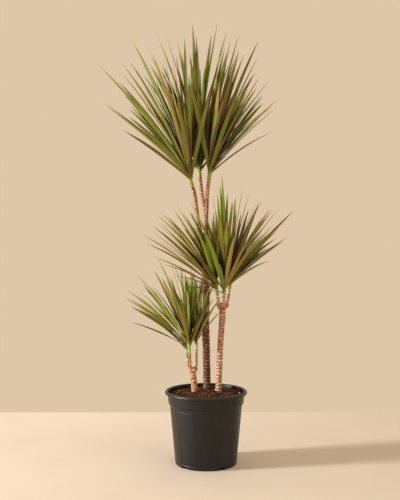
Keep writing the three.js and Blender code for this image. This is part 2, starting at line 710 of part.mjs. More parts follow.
function growBlades() {
  const crowns = CROWNS.map((crown) => {
    const cane = CANES.find(({ name }) => name === crown.cane);
    const shoots = Object.fromEntries(Object.keys(cane.stems).map((side) => [side, shootOf(cane, side)]));
    return { crown, shoots, shownTips: [] };
  });
  for (const { crown, shoots, shownTips } of crowns) {
    const random = seededRandom(crown.reach.up);
    let order = 0;
    for (const [side, tips] of Object.entries(crown.tips)) {
      for (const tip of tips) {
        const candidates = shownCandidates(crown, shoots[side], tip, random, order);
        if (placeBlade(shoots[side].name, candidates)) shownTips.push(blades.at(-1).rows.at(-1).at);
        order += 1;
      }
    }
  }
  for (const { crown, shoots, shownTips } of crowns) fillCrown(crown, Object.values(shoots), shownTips);
}

function makeHead(shoot) {
  const own = blades.filter(({ head }) => head === shoot.name);
  const solid = wasm.Manifold.union([shootSolid(shoot), ...own.map(({ rows }) => bladeSolid(rows))]);
  return toMesh(shoot.name, mainBody(solid), FINISH.leaf);
}

// ---------------------------------------------------------------- the plant

const plant = new THREE.Group();
plant.name = 'potted_dracaena_marginata';
plant.add(makePot(), makeSoil());
growBlades();
for (const cane of CANES) {
  plant.add(makeCane(cane));
  for (const side of Object.keys(cane.stems)) plant.add(makeHead(shootOf(cane, side)));
}

export default plant;
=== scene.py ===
"""Potted dracaena marginata: the looks of the plant and its pot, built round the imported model."""

import bisect
import math
import random

import bmesh
import bpy
from bpy.props import FloatProperty, FloatVectorProperty, IntProperty, PointerProperty
from bpy.types import Operator, Panel, PropertyGroup
from mathutils import Matrix, Quaternion, Vector, noise
from mathutils.geometry import interpolate_bezier


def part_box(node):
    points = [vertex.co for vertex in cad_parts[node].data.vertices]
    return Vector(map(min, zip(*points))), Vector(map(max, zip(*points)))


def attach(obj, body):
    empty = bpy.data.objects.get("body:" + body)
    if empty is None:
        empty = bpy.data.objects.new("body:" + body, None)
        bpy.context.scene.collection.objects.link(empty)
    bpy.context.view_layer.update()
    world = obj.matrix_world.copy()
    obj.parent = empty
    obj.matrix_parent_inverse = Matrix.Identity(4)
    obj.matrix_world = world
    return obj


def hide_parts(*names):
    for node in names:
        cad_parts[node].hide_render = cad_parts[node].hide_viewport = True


bl_info = {
    "name": "Potted Dracaena Marginata",
    "version": (1, 0, 0),
    "blender": (4, 5, 0),
    "location": "3D View > Sidebar > Plant",
    "description": "Builds a three-caned dragon tree in a nursery pot round its packed model",
    "category": "Object",
}

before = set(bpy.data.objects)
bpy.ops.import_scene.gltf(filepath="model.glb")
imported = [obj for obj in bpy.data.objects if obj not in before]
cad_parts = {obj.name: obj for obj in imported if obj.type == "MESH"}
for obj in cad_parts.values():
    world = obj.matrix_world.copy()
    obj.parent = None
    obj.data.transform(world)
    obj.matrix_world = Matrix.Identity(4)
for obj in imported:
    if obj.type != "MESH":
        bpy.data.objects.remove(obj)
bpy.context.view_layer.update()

MM = 0.001
UP = Vector((0, 0, 1))
FULL_TURN = 2 * math.pi
WELD = 1e-6  # vertices closer than this are one
CURVE_STEPS = 24  # straight pieces from one point of a line to the next
SIDES = ("left", "middle", "right")
SEED_STEP = 3.7  # keeps the noise of one cane apart from that of the next
SOIL_SEED = 41

# Edges where faces turn by more degrees than this look sharp: on the pot, on leaves, and where none does.
POT_SHARP = 40
LEAF_SHARP = 60
NONE_SHARP = 180


# ---------------------------------------------------------------- sizes of the plant, in millimetres

# Each corner of the pot's section as radius, height and rounding, on a rim 105 in radius and 188 high:
# from the middle of the underside, out and up the wall, over the rim, and down inside.
POT_OUTLINE = (
    (0, 0, 0), (22, 0, 1), (25, 4, 1), (68, 4, 1), (69, 0, 1), (76.5, 0, 1.2), (78.5, 2.5, 1.2),
    (79.1, 8, 0.5), (78.6, 8.8, 0.3), (78.7, 9.8, 0.3), (79.4, 10.6, 0.5), (91.35, 139.4, 0.5),
    (91.5, 140.2, 0.5), (91.9, 144.6, 0.5), (91.75, 145.6, 0.5), (91.9, 147.2, 0.5), (92.15, 148.2, 0.5),
    (92.5, 153, 1.6), (96, 156, 1.4), (98.5, 179, 0.8), (103.4, 179.8, 0.8), (105, 181.6, 1.2),
    (105, 185.2, 2.4), (103, 187.6, 1.6), (99.5, 188, 1.5), (96.6, 185, 1.5), (96.5, 179, 1), (94, 157, 1),
    (90.5, 152, 1), (77.5, 12, 1.5), (73.5, 6.5, 2), (0, 6.5, 0),
)
POT_DRAWN = (105, 188)
# The top of the rim is painted paler between these heights: a painted highlight.
RIM_HIGHLIGHT_HEIGHTS = (185.5, 187.6)  # heights between which the rim turns paler
NOTCHES = {"count": 5, "at": 76.5, "size": (9, 19, 12.6), "first": -132}
DRAIN_HOLES = {"count": 5, "at": 48, "radius": 5, "height": 12, "level": 4}

# The soil's section under its top, as radius and height, and the heights of the top: where it is made flat,
# and then at the wall and in the middle.
SOIL_OUTLINE = ((0, 6.8), (72.5, 6.8), (76.9, 13), (89.9, 151), (92.9, 158), (95.6, 174))
SOIL_FLAT = 175
SOIL_EDGE = 177
SOIL_MIDDLE = 182
SOIL_REACH = 95
CLODS = ((45, 2.2), (120, 2), (300, 0.8))  # how close together they lie, to the metre, and how high they are
CRUMBS = {
    "size": (0.9, 2.9), "small_share": 0.85, "large": 1.5, "raised": 0.3, "from_wall": 3,
    "stretch": (0.6, 1.2), "rough": 0.22, "speck_share": 0.012,
}

# The canes and their stems, as points along their middles.
CANES = {
    "tall": {
        "line": (
            (4, 47, 92), (3, 46, 181), (1, 45, 285), (-1, 45, 376), (1, 44, 416), (-4, 43, 520),
            (-6, 42, 580),
        ),
        "radii": (9.6, 9.6, 8.6),
        "knob": ((-6, 42, 581), (11, 10.5, 10)),
        "stem_radius": 4.8,
        "bead_share": 1,
        "green_share": 0,
        "stems": {
            "left": ((-9, 40, 576), (-13, 38, 590), (-23, 28, 644), (-29, 20, 688), (-38, 15, 718)),
            "middle": ((-5, 45, 576), (1, 50, 590), (0, 55, 639), (-10, 62, 689), (-16, 68, 739)),
            "right": ((-4, 40, 576), (-1, 34, 590), (2, 28, 652), (3, 25, 688), (8, 22, 731)),
        },
        "head_tops": {"left": (-49, 8, 768), "middle": (-20, 73, 792), "right": (18, 18, 782)},
    },
    "medium": {
        "line": ((32, 15, 96), (32, 15, 183), (34, 15, 232), (37, 15, 302), (42, 15, 372), (43, 15, 402)),
        "radii": (9, 7.4, 8.4),
        "knob": ((43, 15, 403), (15, 12.5, 8.5)),
        "stem_radius": 3.9,
        "bead_share": 1.1,
        "green_share": 0,
        "stems": {
            "left": ((34, 12, 401), (32, 10, 412), (30, 7, 426), (28, 4, 440)),
            "middle": ((44, 10, 401), (45, 7, 412), (46, 3, 430)),
            "right": ((52, 18, 401), (55, 20, 412), (58, 22, 428), (61, 24, 449)),
        },
        "head_tops": {"left": (19, -3, 490), "middle": (49, -2, 478), "right": (69, 27, 497)},
    },
    "short": {
        "line": ((-30, 12, 104), (-30, 12, 183), (-30, 12, 199), (-33, 12, 222), (-34, 12, 239)),
        "radii": (8.5, 8.3, 8.3),
        "knob": ((-34.5, 12, 238), (11.5, 10.5, 8)),
        "stem_radius": 3.3,
        "bead_share": 0.15,
        "green_share": 0.15,
        "stems": {
            "left": ((-39, 15, 238), (-45, 19, 246), (-47, 21, 263), (-49, 22, 281)),
            "middle": ((-38, 8, 238), (-40, 4, 248), (-41, 2, 265), (-42, 0, 283)),
            "right": ((-30, 16, 238), (-25, 18, 249), (-25, 20, 268), (-25, 22, 288)),
        },
        "head_tops": {"left": (-56, 23, 326), "middle": (-44, -6, 330), "right": (-23, 25, 334)},
    },
}
SWELL = {"length": 40, "height": 0.5}  # how a cane's thickness wanders
CAP = (12, 2)  # from a cane's top down: where its bark starts to redden, and where it is as red as the knob
KNOB_FORM = {"size": 1.03, "lumps": 0.24, "ripples": 0.12, "lump_pitch": 1.9, "ripple_pitch": 5}
COLLAR = {"length": 12, "swell": 0.3, "red": 0.8}  # at a stem's foot
STEM_TOP = {"rim": 2, "swell": 0.1, "green": 0.8, "green_from": (6, 1)}  # from its top down

# The leaf scars. A cane has level rings, which wander, rise slowly, fall fast and are broken here and there.
# A stem has beads in two crossing spirals. Their noise changes as spot says: round the bark, and over how
# many millimetres upwards.
RING_SCAR = {
    "spot": (1.3, 22), "wander": 0.5, "top": 0.65, "level": 0.7, "broken": 0.9, "breaks": 2.7, "middle": 0.35,
}
BEAD_SCAR = {"spot": (2, 5), "level": 0.5, "spirals": 0.27, "rough": 0.25}

SHOOT_RADII = (1.21, 0.83)  # foot and top of a green shoot, as shares of its stem's radius
SHOOT_SIDES = 14
SHOOT_STEP = 1.5
SHEATH = {"pitch": 6, "step": 0.08, "sunk": 0.1}  # leaf sheaths up a shoot, as shares of its stem's radius

# How far up a shoot its bright ring ends, its pale sheaths end and the painted shade between leaves begins:
# from and to, in millimetres.
SHOOT_ZONES = {"ring": (2, 4), "sheath": (7, 14), "dim": (16, 34)}

# Each cane's bark: its slot, the heights in metres between which its colour changes, and its colours at the
# foot, higher up, in its dark dashes, on its pale scars and on its knob.
BARKS = {
    "tall": ("dark_bark", (0.3, 0.56), "835a48", "c4926c", "3a2119", "d2b6a2", "9a6542"),
    "medium": ("pale_bark", (0.3, 0.56), "cfa086", "cfa086", "7c5342", "fbeee4", "b0703c"),
    "short": ("tan_bark", (0.238, 0.25), "d0a07a", "ab8263", "80502f", "fae8d8", "b4703a"),
}

# How many blades are added to a crown's heads for each packed one, how light its blades' margins are, at
# least and at most, and where its youngest, brightest blades end: a place in millimetres and a distance.
CROWNS = {
    "tall": {
        "filling": 1.25,
        "blush": (0.1, 0.65),
        "fresh": (((-110, -20, 1060), 45), ((-35, -60, 1120), 40)),
    },
    "medium": {
        "filling": 1.2,
        "blush": (0.2, 0.9),
        "fresh": (((0, -155, 590), 55), ((30, -20, 725), 45), ((20, -120, 655), 35), ((5, -88, 580), 28)),
    },
    "short": {
        "filling": 0.12,
        "blush": (0.05, 0.6),
        "fresh": (((-60, -60, 500), 45), ((-150, -40, 480), 40)),
    },
}

# Blades added to a head where it is open: how far up its shoot each one grows and how far it bows, both
# as shares of the length, and where it ends, in millimetres.
ADDED_BLADES = {
    "medium_head_middle": (
        (0.5, 0.03, (-14, -70, 600)), (0.4, 0.03, (0, -85, 578)), (0.6, 0.02, (12, -60, 628)),
        (0.7, 0.02, (22, -40, 655)), (0.3, 0.04, (14, -95, 560)), (0.8, 0.01, (28, -20, 690)),
        (0.5, 0.03, (-5, -40, 640)), (0.6, 0.02, (30, -70, 610)), (0.2, 0.05, (-32, -75, 545)),
    ),
    "short_head_left": ((0.05, 0.14, (-192, 5, 402)), (0.1, 0.13, (-196, -15, 424))),
    "short_head_middle": (
        (0.6, 0.02, (-24, -35, 470)), (0.7, 0.02, (-30, -10, 500)), (0.3, 0.03, (2, -60, 452)),
        (0.4, 0.02, (-12, -55, 486)), (0.2, 0.04, (14, -80, 430)),
    ),
    "short_head_right": (
        (0.6, 0.02, (-50, -10, 480)), (0.7, 0.02, (-40, 10, 510)), (0.3, 0.02, (-58, -30, 470)),
        (0.2, 0.03, (-75, -60, 445)),
    ),
}

# How a packed blade is drawn: where its rings of corners are, as shares of its length from the root,
# and how wide it is there.
RING_SHARES = (0.75, 0.44)
WIDTH_AT_UPPER_RING = 0.64
TIP_TAPER = 2.3  # the higher, the nearer to its tip a blade keeps its width
NECK_WIDTH = 0.72
NECK_LENGTHS = (95, 30)  # from the root to the neck, on an upright blade and on a spreading one
NECK_TWIST = 0.2  # share of its twist that a blade has made at the neck
CLASP_BY = 0.25  # share of its length along which a blade's root clasps the shoot
CHANNEL_CURVE = 1.5  # how round a blade's channel is
TIP_THINNING = 0.6  # how much thinner a blade is at its tip, as a share
# A core blade's dimness is painted shade: its colour is darkened there.
CORE_SHADE_REACH = 0.68  # share of its length along which a packed blade in the core is dim

# How far blades lean, in degrees: from where they are spreading ones, the core of a head that is darkened
# with painted shade, from its outside in, where fewer are added and where they are young, from the outside
# in.
SPREADING_FROM = 35
CORE_SHADE_LEANS = (40, 15)
SPARSE_LEANS = (22.5, 67.5)
YOUNG_LEANS = (45, 0)
YOUTH = {"listed": 0.9, "others": 0.6}  # how bright young blades are, at most

# The inner blades that are added between others: where between two tips they end, how long they are as a
# share, how far they wander in millimetres, how wide they are as a share, their twist either way, how much
# painted shade darkens them at the root and the share of the length along which that fades.
INNER = {
    "place": (0.3, 0.7), "length": (0.66, 0.97), "wander": 5, "width": (0.66, 0.95), "twist": (0.3, 1),
    "dim": (0.6, 1), "reach": 1.1,
}
NEIGHBOURS = 6  # how many of the nearest blades an inner one may lie next to

# What tells a blade's tip from other corners of a packed head: how long its point is, in millimetres, and how
# many times as long as wide.
POINT_LENGTH = 20
POINT_SLENDER = 2.5

# Where the lamps stand, in metres: the two far ones as the side that their light comes from.
KEY_FROM = (-4.6, -1, 1.4)
SIDE_FROM = (-4.8, -1.24, 0.4)
FILL_AT = (1.9, -2.2, 1.3)
FILL_AIM = (0, 0, 0.6)


# ---------------------------------------------------------------- helpers for shapes

def metres(point):
    """A point given in millimetres."""
    return Vector(point) * MM


def clamp(share):
    return min(1, max(0, share))


def ramp(value, low, high):
    """0 where a value is at low, 1 where it is at high, and smooth between."""
    share = clamp((value - low) / (high - low))
    return share * share * (3 - 2 * share)


def blend(low, high, share):
    """The number at a share of the way from low to high."""
    return low + (high - low) * share


class Line:
    """A smooth line through points, read by the distance along it."""

    def __init__(self, points):
        ends = [2 * points[0] - points[1], *points, 2 * points[-1] - points[-2]]
        self.points = [points[0]]
        for before, start, end, after in zip(ends, ends[1:], ends[2:], ends[3:]):
            pairs = ((before, start), (start, end), (end, after))
            back, here, ahead = (math.sqrt((second - first).length) for first, second in pairs)
            leave = (start - before) / back - (end - before) / (back + here) + (end - start) / here
            arrive = (end - start) / here - (after - start) / (here + ahead) + (after - end) / ahead
            handles = (start + leave * here / 3, end - arrive * here / 3)
            self.points += interpolate_bezier(start, *handles, end, CURVE_STEPS)[1:]
        self.marks = [0]
        for start, end in zip(self.points, self.points[1:]):
            self.marks.append(self.marks[-1] + (end - start).length)
        self.length = self.marks[-1]

    def at(self, distance):
        after = min(max(bisect.bisect_right(self.marks, distance), 1), len(self.marks) - 1)
        stretch = self.marks[after] - self.marks[after - 1]
        return self.points[after - 1].lerp(self.points[after], (distance - self.marks[after - 1]) / stretch)

    def along(self, distance):
        return (self.at(distance + MM) - self.at(distance - MM)).normalized()


def rounded(outline, steps=4):
    """The points of an outline with its corners rounded. Each corner is across, up and rounding."""
    points = [Vector(outline[0][:2])]
    for before, corner, after in zip(outline, outline[1:], outline[2:]):
        here = Vector(corner[:2])
        back = Vector(before[:2]) - here
        ahead = Vector(after[:2]) - here
        reach = min(corner[2], back.length / 2, ahead.length / 2)
        start = here + back.normalized() * reach
        end = here + ahead.normalized() * reach
        for step in range(steps + 1):
            share = step / steps
            points.append(start.lerp(here, share).lerp(here.lerp(end, share), share))
    points.append(Vector(outline[-1][:2]))
    return points


def add_lathe(mesh, section, steps):
    """Turns a section of radius and height about the Z axis into a closed shell."""
    verts = [mesh.verts.new((radius, 0, height)) for radius, height in section]
    edges = [mesh.edges.new(pair) for pair in zip(verts, verts[1:])]
    bmesh.ops.spin(mesh, geom=verts + edges, axis=UP, angle=FULL_TURN, steps=steps, use_merge=True)
    bmesh.ops.remove_doubles(mesh, verts=mesh.verts, dist=WELD)
    bmesh.ops.recalc_face_normals(mesh, faces=mesh.faces)


def add_sheet(mesh, columns, rows, place):
    """Adds a grid of faces. place(column, row, vertex) gives each vertex's place and UV."""
    grid = bmesh.ops.create_grid(mesh, x_segments=columns, y_segments=rows, size=0.5)["verts"]
    uv_map = mesh.loops.layers.uv.verify()
    faces = {face for vert in grid for face in vert.link_faces}
    for vert in grid:
        column = round((vert.co.x + 0.5) * columns)
        row = round((vert.co.y + 0.5) * rows)
        vert.co, uv = place(column, row, vert)
        for loop in vert.link_loops:
            loop[uv_map].uv = uv
    bmesh.ops.remove_doubles(mesh, verts=grid, dist=WELD)
    return [face for face in faces if face.is_valid]


def paint(mesh, vert, amounts):
    """Gives a vertex what the materials read, by name."""
    for name, amount in amounts.items():
        vert[mesh.verts.layers.float[name]] = amount


def add_tube(mesh, line, sides, pitch, form):
    """Adds a closed tube along a nearly upright line. form(distance, angle) gives its radius and paints."""
    steps = max(2, round(line.length / pitch))
    distances = [0, *(line.length * step / steps for step in range(steps + 1)), line.length]

    def place(column, row, vert):
        angle = FULL_TURN * column / sides
        distance = distances[row]
        along = line.along(distance)
        across = (Vector((1, 0, 0)) - along * along.x).normalized()
        out = across * math.cos(angle) + along.cross(across) * math.sin(angle)
        radius, amounts = form(distance, angle)
        if row in (0, len(distances) - 1):
            radius = 0
        paint(mesh, vert, amounts)
        return line.at(distance) + out * radius, (column / sides, distance)

    return add_sheet(mesh, sides, len(distances) - 1, place)


def add_object(name, mesh, materials):
    """An object of a bmesh, in the scene."""
    data = bpy.data.meshes.new(name)
    mesh.to_mesh(data)
    mesh.free()
    for material in materials:
        data.materials.append(material)
    added = bpy.data.objects.new(name, data)
    bpy.context.scene.collection.objects.link(added)
    return added


def new_piece(name, mesh, materials, sharp_degrees):
    """A smooth piece of the plant, riding on its one body."""
    piece = add_object(name, mesh, materials)
    piece.data.shade_smooth()
    piece.data.set_sharp_from_angle(angle=math.radians(sharp_degrees))
    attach(piece, "root")
    return piece


def apply_modifiers(piece):
    """Makes what the modifiers show the piece's own mesh."""
    shown = piece.evaluated_get(bpy.context.evaluated_depsgraph_get())
    data = bpy.data.meshes.new_from_object(shown)
    piece.modifiers.clear()
    piece.data = data


# ---------------------------------------------------------------- helpers for materials

def colour(code):
    """A hexadecimal screen colour as the linear one that shaders take."""
    parts = [int(code[at:at + 2], 16) / 255 for at in (0, 2, 4)]
    return (*(part / 12.92 if part <= 0.04045 else ((part + 0.055) / 1.055) ** 2.4 for part in parts), 1)


class Value:
    """The output of a shader node. Python's operators on it add Math nodes."""

    def __init__(self, shader, socket):
        self.shader = shader
        self.socket = socket

    def math(self, operation, *others):
        return self.shader.add("ShaderNodeMath", {"operation": operation}, dict(enumerate((self, *others))))

    def __add__(self, other):
        return self.math("ADD", other)

    def __sub__(self, other):
        return self.math("SUBTRACT", other)

    def __rsub__(self, other):
        return self * -1 + other

    def __mul__(self, other):
        return self.math("MULTIPLY", other)

    def __abs__(self):
        return self.math("ABSOLUTE")

    __radd__ = __add__
    __rmul__ = __mul__


class Shader:
    """The nodes of one material."""

    def __init__(self, name):
        self.material = bpy.data.materials.new(name)
        self.material.use_nodes = True
        self.nodes = self.material.node_tree.nodes
        self.links = self.material.node_tree.links
        self.nodes.clear()

    def add(self, kind, settings, inputs, output=0):
        """Adds a node, its settings first and then the values or links of its sockets."""
        node = self.nodes.new(kind)
        for name, setting in settings.items():
            setattr(node, name, setting)
        for key, value in inputs.items():
            if isinstance(value, Value):
                self.links.new(value.socket, node.inputs[key])
            else:
                node.inputs[key].default_value = value
        return Value(self, node.outputs[output]) if node.outputs else None

    def place(self, stretch=(1, 1, 1), source="Object"):
        """Where the surface is, in metres, or its place on the UV map, stretched along X, Y and Z."""
        point = self.add("ShaderNodeTexCoord", {}, {}, source)
        return self.add("ShaderNodeVectorMath", {"operation": "MULTIPLY"}, {0: point, 1: stretch})

    def part(self, vector, axis):
        return self.add("ShaderNodeSeparateXYZ", {}, {0: vector}, "XYZ".index(axis))

    def attribute(self, name):
        return self.add("ShaderNodeAttribute", {"attribute_name": name}, {}, "Fac")

    def noise(self, vector, scale, detail=3, roughness=0.55):
        inputs = {"Vector": vector, "Scale": scale, "Detail": detail, "Roughness": roughness}
        return self.add("ShaderNodeTexNoise", {}, inputs, "Fac")

    def cells(self, vector, scale):
        return self.add("ShaderNodeTexVoronoi", {}, {"Vector": vector, "Scale": scale}, "Distance")

    def smooth(self, value, low, high):
        """0 where a value is under low, 1 where it is over high, and smooth between."""
        limits = {"Value": value, "From Min": low, "From Max": high}
        return self.add("ShaderNodeMapRange", {"interpolation_type": "SMOOTHSTEP"}, limits)

    def lay(self, base, *coats):
        """Lays colours over a base, each given as the share of it that shows and the colour."""
        for share, coat in coats:
            base = self.add("ShaderNodeMix", {"data_type": "RGBA"}, {0: share, 6: base, 7: coat}, 2)
        return base

    def finish(self, base, roughness, height, depth, **constants):
        """Ends the material in a surface whose bumps are depth metres deep."""
        bump = self.add("ShaderNodeBump", {}, {"Height": height, "Distance": depth})
        inputs = {"Base Color": base, "Roughness": roughness, "Normal": bump}
        inputs.update({name.replace("_", " "): value for name, value in constants.items()})
        surface = self.add("ShaderNodeBsdfPrincipled", {}, inputs)
        self.add("ShaderNodeOutputMaterial", {}, {"Surface": surface})
        return self.material


# ---------------------------------------------------------------- pot

def pot_plastic(settings):
    """Black moulded plastic: satin, with a faint mottle, upright streaks of dust, fine orange peel and a
    painted highlight on top of the rim.
    """
    shader = Shader("black_pot_plastic")
    point = shader.place()
    mottle = shader.noise(point, 22)
    dust = shader.noise(shader.place((1, 1, 0.25)), 60, 4)
    worn = shader.smooth(shader.part(point, "Z"), RIM_HIGHLIGHT_HEIGHTS[0] * MM, RIM_HIGHLIGHT_HEIGHTS[1] * MM)
    base = shader.lay(
        settings.colour,
        (shader.smooth(dust, 0.5, 0.75) * 0.35, settings.dust),
        (mottle * 0.3, settings.mottle),
        # painted highlight: the top of the rim, paler
        (worn * (mottle * 0.5 + 0.5), settings.worn),
    )
    roughness = mottle * 0.16 + dust * 0.1 + (settings.roughness - 0.13)
    grain = shader.noise(point, 900, 2)
    return shader.finish(base, roughness, grain, 0.00006, Specular_IOR_Level=0.42)


def ring_of(mesh, count, first, add):
    """Repeats a shape about the Z axis. add(mesh) adds one and returns its vertices."""
    for k in range(count):
        turn = Matrix.Rotation(math.radians(first) + FULL_TURN * k / count, 3, "Z")
        bmesh.ops.rotate(mesh, verts=add(mesh), matrix=turn)


def painted_shade_plastic(settings):
    """Painted shade: near-black plastic without shine inside the foot's notches and the drain holes, where no
    light gets in.
    """
    shader = Shader("painted_shade_pot_plastic")
    roughness = shader.noise(shader.place(), 22) * 0.1 + 0.85
    return shader.finish(settings.recess, roughness, roughness, 0.00006, Specular_IOR_Level=0)


def pot_cutter(materials):
    """The notches in the foot and the drain holes, as one object to cut with."""
    mesh = bmesh.new()

    def notch(mesh):
        size = metres(NOTCHES["size"])
        block = bmesh.ops.create_cube(mesh, size=1)["verts"]
        bmesh.ops.scale(mesh, verts=block, vec=size)
        bmesh.ops.translate(mesh, verts=block, vec=(NOTCHES["at"] * MM, 0, 0))
        return block

    def hole(mesh):
        radius = DRAIN_HOLES["radius"] * MM
        rod = bmesh.ops.create_cone(
            mesh, cap_ends=True, segments=24, radius1=radius, radius2=radius, depth=DRAIN_HOLES["height"] * MM
        )["verts"]
        bmesh.ops.translate(mesh, verts=rod, vec=metres((DRAIN_HOLES["at"], 0, DRAIN_HOLES["level"])))
        return rod

    ring_of(mesh, NOTCHES["count"], NOTCHES["first"], notch)
    ring_of(mesh, DRAIN_HOLES["count"], 0, hole)
    # The cut faces take the second material: painted shade.
    for face in mesh.faces:
        face.material_index = 1
    return add_object("pot_cutter", mesh, materials)


def make_pot(settings):
    """The pot: one moulded shell with a rolled rim, a stepped band, foot notches and drain holes."""
    low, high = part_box("pot")
    across = (high.x - low.x) / 2 / POT_DRAWN[0]
    upward = high.z / POT_DRAWN[1]
    section = [(point.x * across, point.y * upward) for point in rounded(POT_OUTLINE)]
    mesh = bmesh.new()
    add_lathe(mesh, section, settings.steps)
    materials = [pot_plastic(settings), painted_shade_plastic(settings)]
    pot = new_piece("nursery_pot", mesh, materials, POT_SHARP)
    cutter = pot_cutter(materials)
    cut = pot.modifiers.new("notches", "BOOLEAN")
    cut.object = cutter
    cut.solver = "EXACT"
    apply_modifiers(pot)
    bpy.data.objects.remove(cutter)
    pot.data.set_sharp_from_angle(angle=math.radians(POT_SHARP))
    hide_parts("pot")


# ---------------------------------------------------------------- soil

def potting_soil(settings):
    """Dark moist mix: crumbs in red-browns, with black gaps of painted shade in the low places of the bump,
    and a few pale specks.
    """
    shader = Shader("crumbly_potting_soil")
    point = shader.place()
    lumps = shader.noise(point, 95, 4, 0.65)
    fine = shader.noise(point, 330, 4, 0.7)
    crumbs = shader.cells(point, 220)
    # The near-black base is painted shade: it shows where the lumps are low, the same lumps that sink the
    # bump.
    base = shader.lay(
        settings.dark,
        (shader.smooth(lumps, 0.42, 0.56), settings.colour),
        (shader.smooth(fine, 0.52, 0.68) * 0.85, settings.light),
        (shader.attribute("speck"), settings.speck),
    )
    height = lumps * 0.5 + fine * 0.35 + crumbs * 0.4
    return shader.finish(base, fine * 0.15 + 0.78, height, 0.0016, Specular_IOR_Level=0.25)


def soil_height(radius, point):
    """The top of the soil there: a low heap with clods and crumbs."""
    heap = blend(SOIL_MIDDLE, SOIL_EDGE, (radius / SOIL_REACH) ** 2)
    return (heap + sum(noise.noise(point * close) * height for close, height in CLODS)) * MM


def add_crumb(mesh, centre, size, speck, draw):
    """Adds one rough lump of soil."""
    lump = bmesh.ops.create_icosphere(mesh, subdivisions=1, radius=1)["verts"]
    turn = Quaternion((draw.random(), draw.random(), draw.random(), draw.random())).normalized().to_matrix()
    stretch = Vector([draw.uniform(*CRUMBS["stretch"]) for _ in range(3)]) * size
    for vert in lump:
        rough = 1 + draw.uniform(-CRUMBS["rough"], CRUMBS["rough"])
        vert.co = centre + turn @ Vector([a * b * rough for a, b in zip(vert.co, stretch)])
        paint(mesh, vert, {"speck": speck})


def make_soil(settings):
    """The soil: one closed mass with a crumbly top."""
    draw = random.Random(SOIL_SEED)
    mesh = bmesh.new()
    mesh.verts.layers.float.new("speck")
    outline = [(radius * MM, height * MM) for radius, height in SOIL_OUTLINE]
    rim = outline[-1][0]
    rings = settings.rings
    level = SOIL_FLAT * MM
    top = [(rim * (1 - ring / rings), level) for ring in range(1, rings + 1)]
    add_lathe(mesh, outline + top, settings.steps)
    for vert in mesh.verts:
        if vert.co.z > level - WELD:
            vert.co.z = soil_height(vert.co.xy.length / MM, Vector((vert.co.x, vert.co.y, 0)))
    feet = [(metres(cane["line"][1]), cane["radii"][0] * MM) for cane in CANES.values()]
    for _ in range(settings.crumbs):
        angle = draw.uniform(0, FULL_TURN)
        radius = math.sqrt(draw.random()) * (rim - CRUMBS["from_wall"] * MM)
        spot = Vector((math.cos(angle), math.sin(angle), 0)) * radius
        if any((spot.xy - foot.xy).length < cane_radius for foot, cane_radius in feet):
            continue
        size = draw.uniform(*CRUMBS["size"]) * MM
        size *= 1 if draw.random() < CRUMBS["small_share"] else CRUMBS["large"]
        spot.z = soil_height(radius / MM, spot) + size * CRUMBS["raised"]
        add_crumb(mesh, spot, size, 1 if draw.random() < CRUMBS["speck_share"] else 0, draw)
    soil = new_piece("potting_soil_top", mesh, [potting_soil(settings)], NONE_SHARP)
    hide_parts("soil")


# ---------------------------------------------------------------- canes

def bark(name, heights, low, high, deep, pale, cap, fresh):
    """Ringed bark: whitish scars along broken rings, dark dashes between them, and a redder knob on top."""
    shader = Shader(name)
    point = shader.place()
    scar = shader.attribute("scar")
    stain = shader.noise(point, 42, 3, 0.6)
    breaks = shader.noise(shader.place((1, 1, 1.7)), 115, 3, 0.6)
    dashes = shader.noise(shader.place((1, 1, 2.3)), 130, 3, 0.6)
    grain = shader.noise(shader.place((1, 1, 2.8)), 520, 2, 0.6)
    dark = shader.smooth(dashes - scar * 0.22, 0.4, 0.5)
    base = shader.lay(
        low,
        (shader.smooth(shader.part(point, "Z"), *heights), high),
        (shader.smooth(stain, 0.45, 0.7) * 0.45, deep),
        (shader.attribute("cap") * (0.6 + 0.4 * shader.smooth(stain, 0.4, 0.6)), cap),
        (dark * 0.78, deep),
        (shader.smooth(breaks + scar * 0.32, 0.72, 0.84) * 0.9, pale),
        (shader.smooth(grain, 0.35, 0.7) * 0.2, deep),
        (shader.attribute("fresh"), fresh),
    )
    height = scar * 0.6 + breaks * 0.4 - dark * 0.3
    return shader.finish(base, grain * 0.2 + 0.62, height, 0.0012, Specular_IOR_Level=0.3)


def scar_spot(scar, distance, angle, seed):
    """Where to read the noise for a leaf scar, the same all the way round and up."""
    across, upward = scar["spot"]
    return Vector((math.cos(angle) * across, math.sin(angle) * across, distance / MM / upward + seed))


def ring_scar(distance, angle, pitch, seed):
    """How far the bark stands out there, from 0 to 1: level, broken rings left by fallen leaves."""
    spot = scar_spot(RING_SCAR, distance, angle, seed)
    share = (distance / pitch + RING_SCAR["wander"] * noise.noise(spot)) % 1
    top = RING_SCAR["top"]
    lip = ramp(share, 0, top) if share < top else ramp(share, 1, top)
    return clamp(lip * (RING_SCAR["level"] + RING_SCAR["broken"] * noise.noise(spot * RING_SCAR["breaks"])))


def bead_scar(distance, angle, pitch, seed):
    """How far a young stem's bark stands out there, from 0 to 1: beads in crossing spirals."""
    row = distance / pitch
    turn = angle / FULL_TURN
    rising = math.cos(FULL_TURN * (row / 2 + 2 * turn + seed))
    falling = math.cos(FULL_TURN * (row / 2 - 2 * turn + seed / 2))
    rough = BEAD_SCAR["rough"] * noise.noise(scar_spot(BEAD_SCAR, distance, angle, seed))
    return clamp(BEAD_SCAR["level"] + BEAD_SCAR["spirals"] * (rising + falling) + rough)


def cane_radius(cane, line, distance):
    """The plain radius of a cane, from its foot, waist and top."""
    foot, waist, top = cane["radii"]
    share = distance / line.length
    radius = blend(foot, waist, share * 2) if share < 0.5 else blend(waist, top, share * 2 - 1)
    return radius * MM


